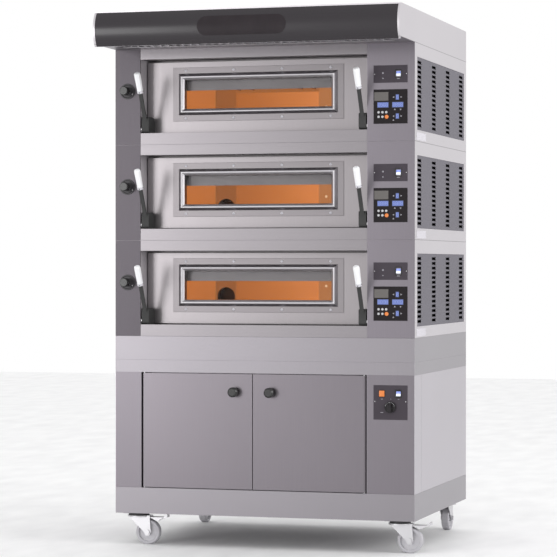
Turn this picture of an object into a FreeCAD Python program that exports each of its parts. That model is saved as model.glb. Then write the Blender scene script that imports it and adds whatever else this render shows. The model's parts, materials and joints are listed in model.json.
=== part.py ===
import FreeCAD, Part
import math
import os

# Three-deck electric bakery oven on a heated prover cabinet, with an extraction hood and castors.
# Millimetres. +Z is up, the front faces -Y and +X is to the right seen from the front.
# The origin is on the floor, under the middle of the body's width and depth.

# ---------------------------------------------------------------- overall sizes
BODY_WIDTH = 1240.0
BODY_DEPTH = 960.0
DECK_COUNT = 3
DECK_HEIGHT = 385.0
RISER_HEIGHT = 95.0
HOOD_HEIGHT = 130.0
HOOD_OVERHANG = 257.0
CASTOR_HEIGHT = 130.0
BASE_RAIL = 105.0
CABINET_OPENING = 465.0
TOP_RAIL = 50.0
SHEET = 2.0

# ---------------------------------------------------------------- front of a deck
LEFT_COLUMN = 107.0
RIGHT_COLUMN = 191.0
LOWER_STRIP = 47.0
UPPER_STRIP = 42.0
DOOR_RECESS = 76.0
SEAL_GAP = 3.0

# ---------------------------------------------------------------- oven door and window
DOOR_THICKNESS = 28.0
DOOR_SIDE_GAP = 5.0
DOOR_TOP_GAP = 7.0
DOOR_BOTTOM_GAP = 4.0
DOOR_SWING_CLEARANCE = 1.5
DOOR_SKIN = 1.5
WINDOW_SIDE = 159.0
WINDOW_BOTTOM = 95.0
WINDOW_TOP = 73.0
GLASS_THICKNESS = 4.0
GLASS_LAP = 8.0
GLASS_PLAY = 0.5
FRAME_LAP = 50.0
FRAME_SHEET = 2.0
MOULDING_WIDTH = 21.0
MOULDING_HEIGHT = 18.0
MOULDING_FLAT = 6.0

# ---------------------------------------------------------------- lever handles and door pivots
HUB_NOSE = 14.5
HUB_SILL_GAP = 1.5
HUB_WIDTH = 30.0
HUB_RISE = 49.5
HUB_CHAMFER = 6.0
HUB_BACK_RADIUS = 30.0
PIVOT_PIN_RADIUS = 6.0
PIVOT_PIN_REACH = 18.0
PIVOT_FLANGE_RADIUS = 11.0
PIVOT_FLANGE = 3.0
RUNNING_CLEARANCE = 0.05
END_PLAY = 1.0
ARM_ROOT_FORWARD = 10.5
ARM_ROOT_RISE = 30.0
ARM_LEAN_DEG = 28.0
ARM_WIDTH = 15.0
ARM_THICKNESS = 7.0
ARM_LENGTH = 127.0
FERRULE_LENGTH = 12.0
FERRULE_RADIUS = 12.5
GRIP_LENGTH = 88.0
GRIP_BASE_RADIUS = 12.0
GRIP_TIP_RADIUS = 14.0
GRIP_ROUNDING = 8.0

# ---------------------------------------------------------------- baking chamber
CHAMBER_SIDE = 52.0
CHAMBER_FLOOR = 108.0
CHAMBER_CEILING = 285.0
MOUTH_TOP = 222.0
REAR_CAVITY = 130.0
STONE_TOP = 136.0
STONE_THICKNESS = 18.0
STONE_PLAY = 2.0
LEDGE_WIDTH = 14.0
ELEMENT_RADIUS = 3.5
ELEMENT_PITCH = 60.0
ELEMENTS_PER_LEVEL = 3
ELEMENT_FRONT_MARGIN = 45.0
TOP_ELEMENT_DROP = 9.0
BOTTOM_ELEMENT_RISE = 4.8

# ---------------------------------------------------------------- vapour vent
VENT_INSET = 52.0
VENT_RISE = 216.0
VENT_ROD_RADIUS = 5.0
VENT_ROD_HOLE = 5.6
VENT_TRAVEL = 50.0
KNOB_NECK_RADIUS = 11.0
KNOB_NECK_LENGTH = 8.0
KNOB_RADIUS = 17.5
KNOB_LENGTH = 34.0
KNOB_STANDOFF = 8.0
PORT_RADIUS = 40.0
PORT_CORNER_GAP = 5.0
PORT_RISE = 150.0
DAMPER_LAP = 4.0
DAMPER_THICKNESS = 5.0
DAMPER_BAR = 12.0
PLENUM_MARGIN = 14.0
COLLAR_LENGTH = 30.0

# ---------------------------------------------------------------- panels on the right column
PANEL_WIDTH = 136.0
PANEL_PLATE = 2.0
PANEL_MARGIN = 29.0
PANEL_HOUSING_INSET = 8.0
PANEL_HOUSING_DEPTH = 33.0
PANEL_CUTOUT_PLAY = 1.0
DISPLAY_PANEL_HEIGHT = 134.0
DISPLAY_PANEL_RISE = 68.0
SWITCH_PANEL_HEIGHT = 68.0
PANEL_SPACING = 26.0
PROVER_PANEL_HEIGHT = 135.0
PROVER_PANEL_DROP = 39.0
SWITCH_OFFSET = 32.0
SWITCH_HALF_WIDTH = 9.0
SWITCH_HALF_HEIGHT = 9.5
SWITCH_POCKET_HALF_WIDTH = 10.0
SWITCH_POCKET_HALF_HEIGHT = 13.0
SWITCH_POCKET_DEPTH = 20.0
SWITCH_DISH = 1.0
SWITCH_PIVOT_DEPTH = 6.0
SWITCH_TILT_DEG = 8.0
PROVER_SWITCH_RISE = 34.0
DIAL_RADIUS = 22.0
DIAL_HEIGHT = 24.0
DIAL_SKIRT = 8.0
DIAL_BAR_WIDTH = 14.0
DIAL_BAR_LENGTH = 35.0
DIAL_GAP = 1.0
DIAL_DROP = 18.0
DIAL_SPINDLE_RADIUS = 4.0
DIAL_SPINDLE_REACH = 20.0

# ---------------------------------------------------------------- side louvre panels
LOUVRE_MARGIN_FRONT = 43.0
LOUVRE_MARGIN_BACK = 44.0
LOUVRE_MARGIN_BOTTOM = 45.0
LOUVRE_MARGIN_TOP = 54.0
LOUVRE_LAP = 8.0
LOUVRE_COLUMNS = 4
LOUVRE_ROWS = 14
LOUVRE_WIDTH = 80.0
LOUVRE_SLOT = 11.0
LOUVRE_EDGE = 10.0

# ---------------------------------------------------------------- hood
VISOR_BULGE = 24.0
VISOR_SHEET = 4.0
VISOR_DROP = 9.0
VISOR_TOP_MARGIN = 5.0
END_CAP = 8.0
INLET_WIDTH = 110.0
INLET_SETBACK = 70.0
INLET_SIDE_MARGIN = 60.0
SPIGOT_RADIUS = 75.0
SPIGOT_WALL = 1.5
SPIGOT_HEIGHT = 50.0
SPIGOT_SETBACK = 230.0

# ---------------------------------------------------------------- prover cabinet
STAND_LEFT = 111.0
STAND_RIGHT = 193.0
CABINET_DOOR_THICKNESS = 22.0
CABINET_DOOR_GAP = 3.0
CABINET_MEETING_GAP = 3.0
CABINET_PIVOT = 8.0
CABINET_STILE = 18.0
STOP_END_MARGIN = 36.0
SERVICE_HOLE_RADIUS = 12.5
CABINET_PIN_RADIUS = 4.0
CABINET_PIN_REACH = 14.0
DOOR_STOP = 12.0
CABINET_KNOB_INSET = 75.0
CABINET_KNOB_DROP = 75.0
CABINET_KNOB_RADIUS = 20.0
CABINET_KNOB_HEAD = 24.0
CABINET_KNOB_NECK = 12.0
CABINET_KNOB_NECK_RADIUS = 10.0
RUNNER_COUNT = 5
RUNNER_WIDTH = 25.0
RUNNER_LIP = 12.0
RUNNER_MARGIN = 40.0
UPRIGHT_WIDTH = 25.0
UPRIGHT_SHEET = 3.0
PROVER_ELEMENT_RISE = 14.0
PROVER_ELEMENT_LENGTH = 520.0

# ---------------------------------------------------------------- cable glands
GLAND_INSET = 60.0
GLAND_RISE = 60.0
GLAND_BORE = 8.0
GLAND_THREAD = 12.0
GLAND_FLANGE = 16.0
GLAND_FLANGE_LENGTH = 8.0
GLAND_NOSE = 12.5
GLAND_NOSE_LENGTH = 16.0
GLAND_TAIL = 12.0
GLAND_HOLE_PLAY = 0.3

# ---------------------------------------------------------------- castors
CASTOR_INSET = 75.0
CASTOR_SETBACK = 72.0
CASTOR_PLATE_LENGTH = 105.0
CASTOR_PLATE_WIDTH = 85.0
CASTOR_PLATE = 4.0
CASTOR_RACE_RADIUS = 42.0
CASTOR_RACE = 9.0
CASTOR_SWIVEL_GAP = 0.5
KINGPIN_RADIUS = 6.0
FORK_HEAD_RADIUS = 46.0
FORK_HEAD = 5.0
FORK_SHEET = 3.0
FORK_BOSS = 15.0
WHEEL_RADIUS = 50.0
WHEEL_WIDTH = 32.0
WHEEL_SIDE_GAP = 2.5
WHEEL_TRAIL = 42.0
WHEEL_TREAD = 6.0
WHEEL_WEB = 14.0
AXLE_RADIUS = 6.0
AXLE_HEAD = 5.0
AXLE_HEAD_RADIUS = 10.0
WHEEL_HUB_RADIUS = 14.0
PEDAL_PIVOT_TRAIL = 46.0
PEDAL_PIN_RADIUS = 2.5
PEDAL_LENGTH = 80.0
PEDAL_WIDTH = 34.0
PEDAL_SHEET = 4.0
PEDAL_CHEEK_DROP = 15.0
PEDAL_WHEEL_GAP = 8.0
PEDAL_HEAD_GAP = 1.0
PEDAL_HEEL = 5.0
PEDAL_TOE_RISE = 13.0
PEDAL_EYE = 7.5

# ---------------------------------------------------------------- planes worked out from the sizes
LEFT = -BODY_WIDTH / 2
RIGHT = BODY_WIDTH / 2
FRONT = -BODY_DEPTH / 2
BACK = BODY_DEPTH / 2
Z_BASE = CASTOR_HEIGHT
Z_FLOOR = Z_BASE + BASE_RAIL
Z_CEILING = Z_FLOOR + CABINET_OPENING
Z_STAND = Z_CEILING + TOP_RAIL
Z_DECKS = Z_STAND + RISER_HEIGHT
Z_HOOD = Z_DECKS + DECK_COUNT * DECK_HEIGHT
OPENING_LEFT = LEFT + LEFT_COLUMN
OPENING_RIGHT = RIGHT - RIGHT_COLUMN
DOOR_FRONT = FRONT + DOOR_RECESS
DOOR_BACK = DOOR_FRONT + DOOR_THICKNESS
FLANGE_FRONT = DOOR_BACK + SEAL_GAP
FLANGE_BACK = FLANGE_FRONT + SHEET
DOOR_LEFT = OPENING_LEFT + DOOR_SIDE_GAP
DOOR_RIGHT = OPENING_RIGHT - DOOR_SIDE_GAP
GLASS_LEFT = DOOR_LEFT + WINDOW_SIDE
GLASS_RIGHT = DOOR_RIGHT - WINDOW_SIDE
PIVOT_Y = FRONT + HUB_NOSE
PIVOT_RISE = LOWER_STRIP + HUB_SILL_GAP + HUB_NOSE
CHAMBER_LEFT = OPENING_LEFT + CHAMBER_SIDE
CHAMBER_RIGHT = OPENING_RIGHT - CHAMBER_SIDE
CHAMBER_BACK = BACK - REAR_CAVITY
VENT_X = LEFT + VENT_INSET
PORT_X = CHAMBER_LEFT + PORT_CORNER_GAP + PORT_RADIUS
PANEL_RIGHT = RIGHT - PANEL_MARGIN
PANEL_LEFT = PANEL_RIGHT - PANEL_WIDTH
PANEL_MIDDLE = (PANEL_LEFT + PANEL_RIGHT) / 2
BAY_WALL = OPENING_RIGHT + SHEET
CABINET_LEFT = LEFT + STAND_LEFT
CABINET_RIGHT = RIGHT - STAND_RIGHT
CABINET_MIDDLE = (CABINET_LEFT + CABINET_RIGHT) / 2
GLAND_X = RIGHT - GLAND_INSET
VISOR_PLANE = FRONT - HOOD_OVERHANG + VISOR_BULGE

X_AXIS = FreeCAD.Vector(1, 0, 0)
Y_AXIS = FreeCAD.Vector(0, 1, 0)
Z_AXIS = FreeCAD.Vector(0, 0, 1)


# ---------------------------------------------------------------- helpers
def point(x, y, z):
    return FreeCAD.Vector(x, y, z)


def block(x, y, z):
    """A box between two corners, given as (low, high) along each axis."""
    size = [pair[1] - pair[0] for pair in (x, y, z)]
    return Part.makeBox(size[0], size[1], size[2], point(x[0], y[0], z[0]))


def rod(start, axis, radius, length):
    """A round bar from start along axis."""
    return Part.makeCylinder(radius, length, start, axis)


def fuse(shapes):
    """One solid from touching or overlapping shapes."""
    joined = shapes[0].multiFuse(shapes[1:]) if len(shapes) > 1 else shapes[0]
    return joined.removeSplitter()


def prism_x(outline, x0, x1):
    """An extrusion along X of closed (y, z) points."""
    points = [point(x0, y, z) for y, z in outline]
    wire = Part.makePolygon(points + [points[0]])
    return Part.Face(wire).extrude(point(x1 - x0, 0, 0))


def prism_y(outline, y0, y1):
    """An extrusion along Y of closed (x, z) points."""
    points = [point(x, y0, z) for x, z in outline]
    wire = Part.makePolygon(points + [points[0]])
    return Part.Face(wire).extrude(point(0, y1 - y0, 0))


def turned(profile, base, axis):
    """A solid of revolution from (radius, distance) points, placed at base along axis."""
    points = [point(radius, 0, distance) for radius, distance in profile]
    wire = Part.makePolygon(points + [points[0]])
    solid = Part.Face(wire).revolve(point(0, 0, 0), Z_AXIS, 360)
    turn = FreeCAD.Rotation(Z_AXIS, axis)
    solid.Placement = FreeCAD.Placement(base, turn)
    return solid


def export(name, solids):
    """Writes one node, which may be a group of separate solids."""
    shape = solids[0] if len(solids) == 1 else Part.makeCompound(solids)
    shape.exportStep("parts/" + name + ".step")


def deck_bottom(deck):
    """Height of a deck's underside. Deck 1 is the top one."""
    return Z_DECKS + (DECK_COUNT - deck) * DECK_HEIGHT


def door_span(deck):
    """Lowest and highest point of an oven door."""
    low = deck_bottom(deck) + LOWER_STRIP + DOOR_BOTTOM_GAP
    high = deck_bottom(deck) + DECK_HEIGHT - UPPER_STRIP - DOOR_TOP_GAP
    return low, high


def glass_span(deck):
    """Lowest and highest point of the clear glass."""
    low, high = door_span(deck)
    return low + WINDOW_BOTTOM, high - WINDOW_TOP


def hub_spans():
    """Left and right lever hubs, as (low, high) along X, each flush with its door edge."""
    return (DOOR_LEFT, DOOR_LEFT + HUB_WIDTH), (DOOR_RIGHT - HUB_WIDTH, DOOR_RIGHT)


def louvre_span():
    """The side panel's window in the casing, as (low, high) along Y."""
    return FRONT + LOUVRE_MARGIN_FRONT, BACK - LOUVRE_MARGIN_BACK


def display_panel_span(deck):
    low = deck_bottom(deck) + DISPLAY_PANEL_RISE
    return low, low + DISPLAY_PANEL_HEIGHT


def switch_panel_span(deck):
    low = display_panel_span(deck)[1] + PANEL_SPACING
    return low, low + SWITCH_PANEL_HEIGHT


def prover_panel_span():
    high = Z_CEILING - PROVER_PANEL_DROP
    return high - PROVER_PANEL_HEIGHT, high


# ---------------------------------------------------------------- deck shell
def casing(deck):
    """Outer steel case, open at the front: two sides, floor, roof, back and the vapour collar."""
    z0 = deck_bottom(deck)
    z1 = z0 + DECK_HEIGHT
    y = (FRONT + SHEET, BACK)
    between = (LEFT + SHEET, RIGHT - SHEET)
    left = block((LEFT, LEFT + SHEET), y, (z0, z1))
    window = block((RIGHT - SHEET, RIGHT), louvre_span(), (z0 + LOUVRE_MARGIN_BOTTOM, z1 - LOUVRE_MARGIN_TOP))
    right = block((RIGHT - SHEET, RIGHT), y, (z0, z1)).cut(window)
    floor = block(between, y, (z0, z0 + SHEET))
    roof = block(between, y, (z1 - SHEET, z1))
    outlet = point(PORT_X, BACK - SHEET - COLLAR_LENGTH, z0 + PORT_RISE)
    sleeve = rod(outlet, Y_AXIS, PORT_RADIUS + SHEET, COLLAR_LENGTH + SHEET)
    collar = sleeve.cut(rod(outlet, Y_AXIS, PORT_RADIUS, COLLAR_LENGTH + SHEET))
    gland = rod(point(GLAND_X, BACK - SHEET, z0 + GLAND_RISE), Y_AXIS, GLAND_THREAD + GLAND_HOLE_PLAY, SHEET)
    back = block(between, (BACK - SHEET, BACK), (z0 + SHEET, z1 - SHEET)).cut(sleeve).cut(gland)
    return [left, right, floor, roof, back, collar]


def panel_cutout(span):
    """The hole in the right column behind one panel plate."""
    inset = PANEL_HOUSING_INSET - PANEL_CUTOUT_PLAY
    return block((PANEL_LEFT + inset, PANEL_RIGHT - inset), (FRONT, FRONT + SHEET),
                 (span[0] + inset, span[1] - inset))


def front_frame(deck):
    """Two columns with their jambs and two folded strips, which together line the door recess."""
    z0 = deck_bottom(deck)
    z1 = z0 + DECK_HEIGHT
    sill = z0 + LOWER_STRIP
    head = z1 - UPPER_STRIP
    face = (FRONT, FRONT + SHEET)
    depth = (FRONT, FLANGE_FRONT)
    inside = (sill - SHEET, head + SHEET)
    width = (OPENING_LEFT, OPENING_RIGHT)
    jamb_depth = (FRONT + SHEET, FLANGE_FRONT)
    left = block((LEFT, OPENING_LEFT), face, (z0, z1))
    left = left.cut(rod(point(VENT_X, FRONT, z0 + VENT_RISE), Y_AXIS, VENT_ROD_HOLE, SHEET))
    left_jamb = block((OPENING_LEFT - SHEET, OPENING_LEFT), jamb_depth, inside)
    right = block((OPENING_RIGHT, RIGHT), face, (z0, z1))
    right_jamb = block((OPENING_RIGHT, OPENING_RIGHT + SHEET), jamb_depth, inside)
    for span in (display_panel_span(deck), switch_panel_span(deck)):
        right = right.cut(panel_cutout(span))
    lower = fuse([block(width, face, (z0, sill)), block(width, depth, (sill - SHEET, sill))])
    upper = fuse([block(width, face, (head, z1)), block(width, depth, (head, head + SHEET))])
    return [left, left_jamb, right, right_jamb, lower, upper]


def chamber(deck):
    """Baking chamber liner with its front flange, stone ledges and vapour port."""
    z0 = deck_bottom(deck)
    floor = z0 + CHAMBER_FLOOR
    ceiling = z0 + CHAMBER_CEILING
    shell = block((CHAMBER_LEFT - SHEET, CHAMBER_RIGHT + SHEET), (FLANGE_FRONT, CHAMBER_BACK + SHEET),
                  (floor - SHEET, ceiling + SHEET))
    flange = block((OPENING_LEFT - SHEET, OPENING_RIGHT + SHEET), (FLANGE_FRONT, FLANGE_BACK),
                   (z0 + LOWER_STRIP - SHEET, z0 + DECK_HEIGHT - UPPER_STRIP + SHEET))
    inside = block((CHAMBER_LEFT, CHAMBER_RIGHT), (FLANGE_BACK, CHAMBER_BACK), (floor, ceiling))
    mouth = block((CHAMBER_LEFT, CHAMBER_RIGHT), (FLANGE_FRONT, FLANGE_BACK), (floor, z0 + MOUTH_TOP))
    port = rod(point(PORT_X, CHAMBER_BACK, z0 + PORT_RISE), Y_AXIS, PORT_RADIUS, SHEET)
    liner = fuse([shell, flange]).cut(inside).cut(mouth).cut(port)
    ledge_top = z0 + STONE_TOP - STONE_THICKNESS
    ledges = []
    for x in ((CHAMBER_LEFT, CHAMBER_LEFT + LEDGE_WIDTH), (CHAMBER_RIGHT - LEDGE_WIDTH, CHAMBER_RIGHT)):
        ledges.append(block(x, (FLANGE_BACK, CHAMBER_BACK), (ledge_top - SHEET, ledge_top)))
    return fuse([liner] + ledges)


def insulation(deck):
    """Mineral wool round the chamber, with the vent rod's tunnel and the damper's plenum left free."""
    z0 = deck_bottom(deck)
    wool = block((LEFT + SHEET, BAY_WALL), (FLANGE_BACK, BACK - SHEET), (z0 + SHEET, z0 + DECK_HEIGHT - SHEET))
    hollow = block((CHAMBER_LEFT - SHEET, CHAMBER_RIGHT + SHEET), (FLANGE_BACK, CHAMBER_BACK + SHEET),
                   (z0 + CHAMBER_FLOOR - SHEET, z0 + CHAMBER_CEILING + SHEET))
    tunnel = rod(point(VENT_X, FLANGE_BACK, z0 + VENT_RISE), Y_AXIS, 2 * VENT_ROD_RADIUS, BACK - FLANGE_BACK)
    reach = PORT_RADIUS + DAMPER_LAP + PLENUM_MARGIN
    plenum = block((VENT_X - 2 * PLENUM_MARGIN, PORT_X + reach), (CHAMBER_BACK, BACK - SHEET),
                   (z0 + PORT_RISE - reach, z0 + VENT_RISE + 2 * PLENUM_MARGIN))
    return wool.cut(hollow).cut(tunnel).cut(plenum)


def baking_stone(deck):
    """Refractory slab on the chamber's ledges."""
    top = deck_bottom(deck) + STONE_TOP
    return block((CHAMBER_LEFT + STONE_PLAY, CHAMBER_RIGHT - STONE_PLAY),
                 (FLANGE_BACK + STONE_PLAY, CHAMBER_BACK - STONE_PLAY), (top - STONE_THICKNESS, top))


def hairpin(x, z, front, back):
    """A U-shaped sheathed heating element with its legs along Y and its bend at the front."""
    half = ELEMENT_PITCH / 2
    bend_y = front + half
    bend = Part.makeTorus(half, ELEMENT_RADIUS, point(x, bend_y, z), Z_AXIS, -180, 180, 180)
    bend.rotate(point(x, bend_y, z), Z_AXIS, 180)
    legs = [rod(point(x + side * half, bend_y, z), Y_AXIS, ELEMENT_RADIUS, back - bend_y) for side in (-1, 1)]
    return fuse([legs[0], bend, legs[1]])


def deck_elements(deck):
    """Hairpin elements under the ceiling and under the stone."""
    z0 = deck_bottom(deck)
    elements = []
    spacing = (CHAMBER_RIGHT - CHAMBER_LEFT) / ELEMENTS_PER_LEVEL
    for z in (z0 + CHAMBER_CEILING - TOP_ELEMENT_DROP, z0 + CHAMBER_FLOOR + BOTTOM_ELEMENT_RISE):
        for index in range(ELEMENTS_PER_LEVEL):
            x = CHAMBER_LEFT + (index + 0.5) * spacing
            elements.append(hairpin(x, z, FLANGE_BACK + ELEMENT_FRONT_MARGIN, CHAMBER_BACK))
    return elements


def louvre_panel(deck):
    """Ventilated side cover behind the casing's window, with rows of slots."""
    z0 = deck_bottom(deck)
    y0, y1 = louvre_span()
    low = z0 + LOUVRE_MARGIN_BOTTOM
    high = z0 + DECK_HEIGHT - LOUVRE_MARGIN_TOP
    panel = block((RIGHT - 2 * SHEET, RIGHT - SHEET), (y0 - LOUVRE_LAP, y1 + LOUVRE_LAP),
                  (low - LOUVRE_LAP, high + LOUVRE_LAP))
    column_pitch = (y1 - y0 - 2 * LOUVRE_EDGE - LOUVRE_WIDTH) / (LOUVRE_COLUMNS - 1)
    row_pitch = (high - low - 2 * LOUVRE_EDGE) / LOUVRE_ROWS
    slots = []
    for column in range(LOUVRE_COLUMNS):
        y = y0 + LOUVRE_EDGE + column * column_pitch
        for row in range(LOUVRE_ROWS):
            z = low + LOUVRE_EDGE + (row + 0.5) * row_pitch
            slots.append(block((RIGHT - 3 * SHEET, RIGHT), (y, y + LOUVRE_WIDTH),
                               (z - LOUVRE_SLOT / 2, z + LOUVRE_SLOT / 2)))
    return panel.cut(Part.makeCompound(slots))


# ---------------------------------------------------------------- oven door
def swing_limit(deck, inset):
    """Cylinder about the door's pivot that stays clear of the recess head, less an inset."""
    radius = DECK_HEIGHT - UPPER_STRIP - PIVOT_RISE - DOOR_SWING_CLEARANCE - inset
    start = point(DOOR_LEFT, PIVOT_Y, deck_bottom(deck) + PIVOT_RISE)
    return rod(start, X_AXIS, radius, DOOR_RIGHT - DOOR_LEFT)


def oven_door(deck):
    """Hollow insulated door, rounded at the top to swing out, with rebates for both panes."""
    low, high = door_span(deck)
    glass_low, glass_high = glass_span(deck)
    outer = block((DOOR_LEFT, DOOR_RIGHT), (DOOR_FRONT, DOOR_BACK), (low, high)).common(swing_limit(deck, 0))
    inner = block((DOOR_LEFT + DOOR_SKIN, DOOR_RIGHT - DOOR_SKIN), (DOOR_FRONT + DOOR_SKIN, DOOR_BACK - DOOR_SKIN),
                  (low + DOOR_SKIN, high - DOOR_SKIN)).common(swing_limit(deck, DOOR_SKIN))
    land = GLASS_LAP + GLASS_PLAY
    surround = block((GLASS_LEFT - land - DOOR_SKIN, GLASS_RIGHT + land + DOOR_SKIN), (DOOR_FRONT, DOOR_BACK),
                     (glass_low - land - DOOR_SKIN, glass_high + land + DOOR_SKIN))
    tunnel = block((GLASS_LEFT, GLASS_RIGHT), (DOOR_FRONT, DOOR_BACK), (glass_low, glass_high))
    rebate_x = (GLASS_LEFT - land, GLASS_RIGHT + land)
    rebate_z = (glass_low - land, glass_high + land)
    front_rebate = block(rebate_x, (DOOR_FRONT, DOOR_FRONT + GLASS_THICKNESS), rebate_z)
    back_rebate = block(rebate_x, (DOOR_BACK - GLASS_THICKNESS, DOOR_BACK), rebate_z)
    drain = rod(point(CABINET_MIDDLE, (DOOR_FRONT + DOOR_BACK) / 2, low), Z_AXIS, 2 * DOOR_SKIN, DOOR_SKIN)
    door = fuse([outer.cut(inner), surround])
    return door.cut(tunnel).cut(front_rebate).cut(back_rebate).cut(drain)


def window_frame(deck):
    """Flat sheet on the door with a raised bevelled moulding round the glass."""
    low, high = glass_span(deck)
    back = DOOR_FRONT
    face = back - FRAME_SHEET
    crest = face - MOULDING_HEIGHT

    def ring(outset, y):
        corners = [(GLASS_LEFT - outset, low - outset), (GLASS_RIGHT + outset, low - outset),
                   (GLASS_RIGHT + outset, high + outset), (GLASS_LEFT - outset, high + outset)]
        points = [point(x, y, z) for x, z in corners]
        return Part.makePolygon(points + [points[0]])

    sheet = block((GLASS_LEFT - FRAME_LAP, GLASS_RIGHT + FRAME_LAP), (face, back),
                  (low - FRAME_LAP, high + FRAME_LAP))
    moulding = Part.makeLoft([ring(MOULDING_WIDTH, face), ring(MOULDING_FLAT, crest)], True, True)
    sight = block((GLASS_LEFT, GLASS_RIGHT), (crest, back), (low, high))
    return fuse([sheet, moulding]).cut(sight)


def window_panes(deck):
    """Outer and inner glass, each in its rebate."""
    low, high = glass_span(deck)
    x = (GLASS_LEFT - GLASS_LAP, GLASS_RIGHT + GLASS_LAP)
    z = (low - GLASS_LAP, high + GLASS_LAP)
    outer = block(x, (DOOR_FRONT, DOOR_FRONT + GLASS_THICKNESS), z)
    inner = block(x, (DOOR_BACK - GLASS_THICKNESS, DOOR_BACK), z)
    return [outer, inner]


def lever_direction():
    """Unit vector along a lever arm, leaning out to the front."""
    lean = math.radians(ARM_LEAN_DEG)
    return point(0, -math.sin(lean), math.cos(lean))


def lever_root(deck, x):
    """Start of the lever arm inside its hub."""
    pivot_z = deck_bottom(deck) + PIVOT_RISE
    return point(x, PIVOT_Y - ARM_ROOT_FORWARD, pivot_z + ARM_ROOT_RISE)


def lever(deck, span):
    """Hub block on the door's face with its flat arm. The nose is round about the pivot."""
    pivot_z = deck_bottom(deck) + PIVOT_RISE
    top = pivot_z + HUB_RISE
    x0, x1 = span

    def at(y, z):
        return point(x0, y, z)

    quarter = math.sqrt(0.5) * HUB_NOSE
    nose = Part.Arc(at(FRONT, pivot_z), at(PIVOT_Y - quarter, pivot_z - quarter), at(PIVOT_Y, pivot_z - HUB_NOSE))
    back_centre = (DOOR_FRONT - HUB_BACK_RADIUS, top - HUB_BACK_RADIUS)
    shoulder = math.sqrt(0.5) * HUB_BACK_RADIUS
    back = Part.Arc(at(DOOR_FRONT, back_centre[1]), at(back_centre[0] + shoulder, back_centre[1] + shoulder),
                    at(back_centre[0], top))
    edges = [nose.toShape()]
    corners = [at(PIVOT_Y, pivot_z - HUB_NOSE), at(DOOR_FRONT, pivot_z - HUB_NOSE), at(DOOR_FRONT, back_centre[1])]
    edges += [Part.makeLine(corners[0], corners[1]), Part.makeLine(corners[1], corners[2]), back.toShape()]
    corners = [at(back_centre[0], top), at(FRONT + HUB_CHAMFER, top), at(FRONT, top - HUB_CHAMFER),
               at(FRONT, pivot_z)]
    edges += [Part.makeLine(a, b) for a, b in zip(corners, corners[1:])]
    hub = Part.Face(Part.Wire(edges)).extrude(point(x1 - x0, 0, 0))
    middle = (x0 + x1) / 2
    arm = Part.makeBox(ARM_WIDTH, ARM_THICKNESS, ARM_LENGTH, point(-ARM_WIDTH / 2, -ARM_THICKNESS / 2, 0))
    arm.Placement = FreeCAD.Placement(lever_root(deck, middle), FreeCAD.Rotation(X_AXIS, ARM_LEAN_DEG))
    bore_start = x0 if x0 == DOOR_LEFT else x1
    inward = X_AXIS if x0 == DOOR_LEFT else X_AXIS * -1
    bore_depth = PIVOT_PIN_REACH + END_PLAY
    bore = rod(point(bore_start, PIVOT_Y, pivot_z), inward, PIVOT_PIN_RADIUS + RUNNING_CLEARANCE, bore_depth)
    return fuse([hub, arm]).cut(bore)


def grip(deck, span):
    """Tapered cool-touch grip with a rounded end and a ferrule, on the end of an arm."""
    base = lever_root(deck, (span[0] + span[1]) / 2) + lever_direction() * ARM_LENGTH
    profile = [(0, 0), (FERRULE_RADIUS, 0), (FERRULE_RADIUS, FERRULE_LENGTH), (GRIP_BASE_RADIUS, FERRULE_LENGTH)]
    top = FERRULE_LENGTH + GRIP_LENGTH
    profile += [(GRIP_TIP_RADIUS, top - GRIP_ROUNDING)]
    for step in range(1, 4):
        angle = math.radians(30 * step)
        inset = GRIP_ROUNDING * (1 - math.cos(angle))
        profile.append((GRIP_TIP_RADIUS - inset, top - GRIP_ROUNDING + GRIP_ROUNDING * math.sin(angle)))
    profile.append((0, top))
    return turned(profile, base, lever_direction())


def pivot_pins(deck):
    """Flanged pins on the recess walls, one into each lever hub."""
    centre_z = deck_bottom(deck) + PIVOT_RISE
    length = DOOR_SIDE_GAP + PIVOT_PIN_REACH
    pins = []
    for x, inward in ((OPENING_LEFT, X_AXIS), (OPENING_RIGHT, X_AXIS * -1)):
        centre = point(x, PIVOT_Y, centre_z)
        flange = rod(centre, inward, PIVOT_FLANGE_RADIUS, PIVOT_FLANGE)
        pins.append(fuse([flange, rod(centre, inward, PIVOT_PIN_RADIUS, length)]))
    return pins


# ---------------------------------------------------------------- vent knob and damper
def vent_knob(deck):
    """Pull knob on a long rod whose cross bar carries the damper disc behind the chamber."""
    z = deck_bottom(deck) + VENT_RISE
    port_z = deck_bottom(deck) + PORT_RISE
    neck_end = FRONT - KNOB_STANDOFF
    knob_start = neck_end - KNOB_NECK_LENGTH - KNOB_LENGTH
    knob = rod(point(VENT_X, knob_start, z), Y_AXIS, KNOB_RADIUS, KNOB_LENGTH)
    knob = knob.makeFillet(KNOB_RADIUS / 6, [knob.Edges[0], knob.Edges[2]])
    neck = rod(point(VENT_X, neck_end - KNOB_NECK_LENGTH, z), Y_AXIS, KNOB_NECK_RADIUS, KNOB_NECK_LENGTH)
    disc_y = CHAMBER_BACK + SHEET + VENT_TRAVEL + END_PLAY
    bar_y = (disc_y + DAMPER_THICKNESS, disc_y + DAMPER_THICKNESS + DAMPER_BAR)
    shaft = rod(point(VENT_X, neck_end, z), Y_AXIS, VENT_ROD_RADIUS, bar_y[1] - neck_end)
    half = DAMPER_BAR / 2
    cross = block((VENT_X - half, PORT_X + half), bar_y, (z - half, z + half))
    drop = block((PORT_X - half, PORT_X + half), bar_y, (port_z - half, z + half))
    disc = rod(point(PORT_X, disc_y, port_z), Y_AXIS, PORT_RADIUS + DAMPER_LAP, DAMPER_THICKNESS)
    return fuse([knob, neck, shaft, cross, drop, disc])


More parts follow.
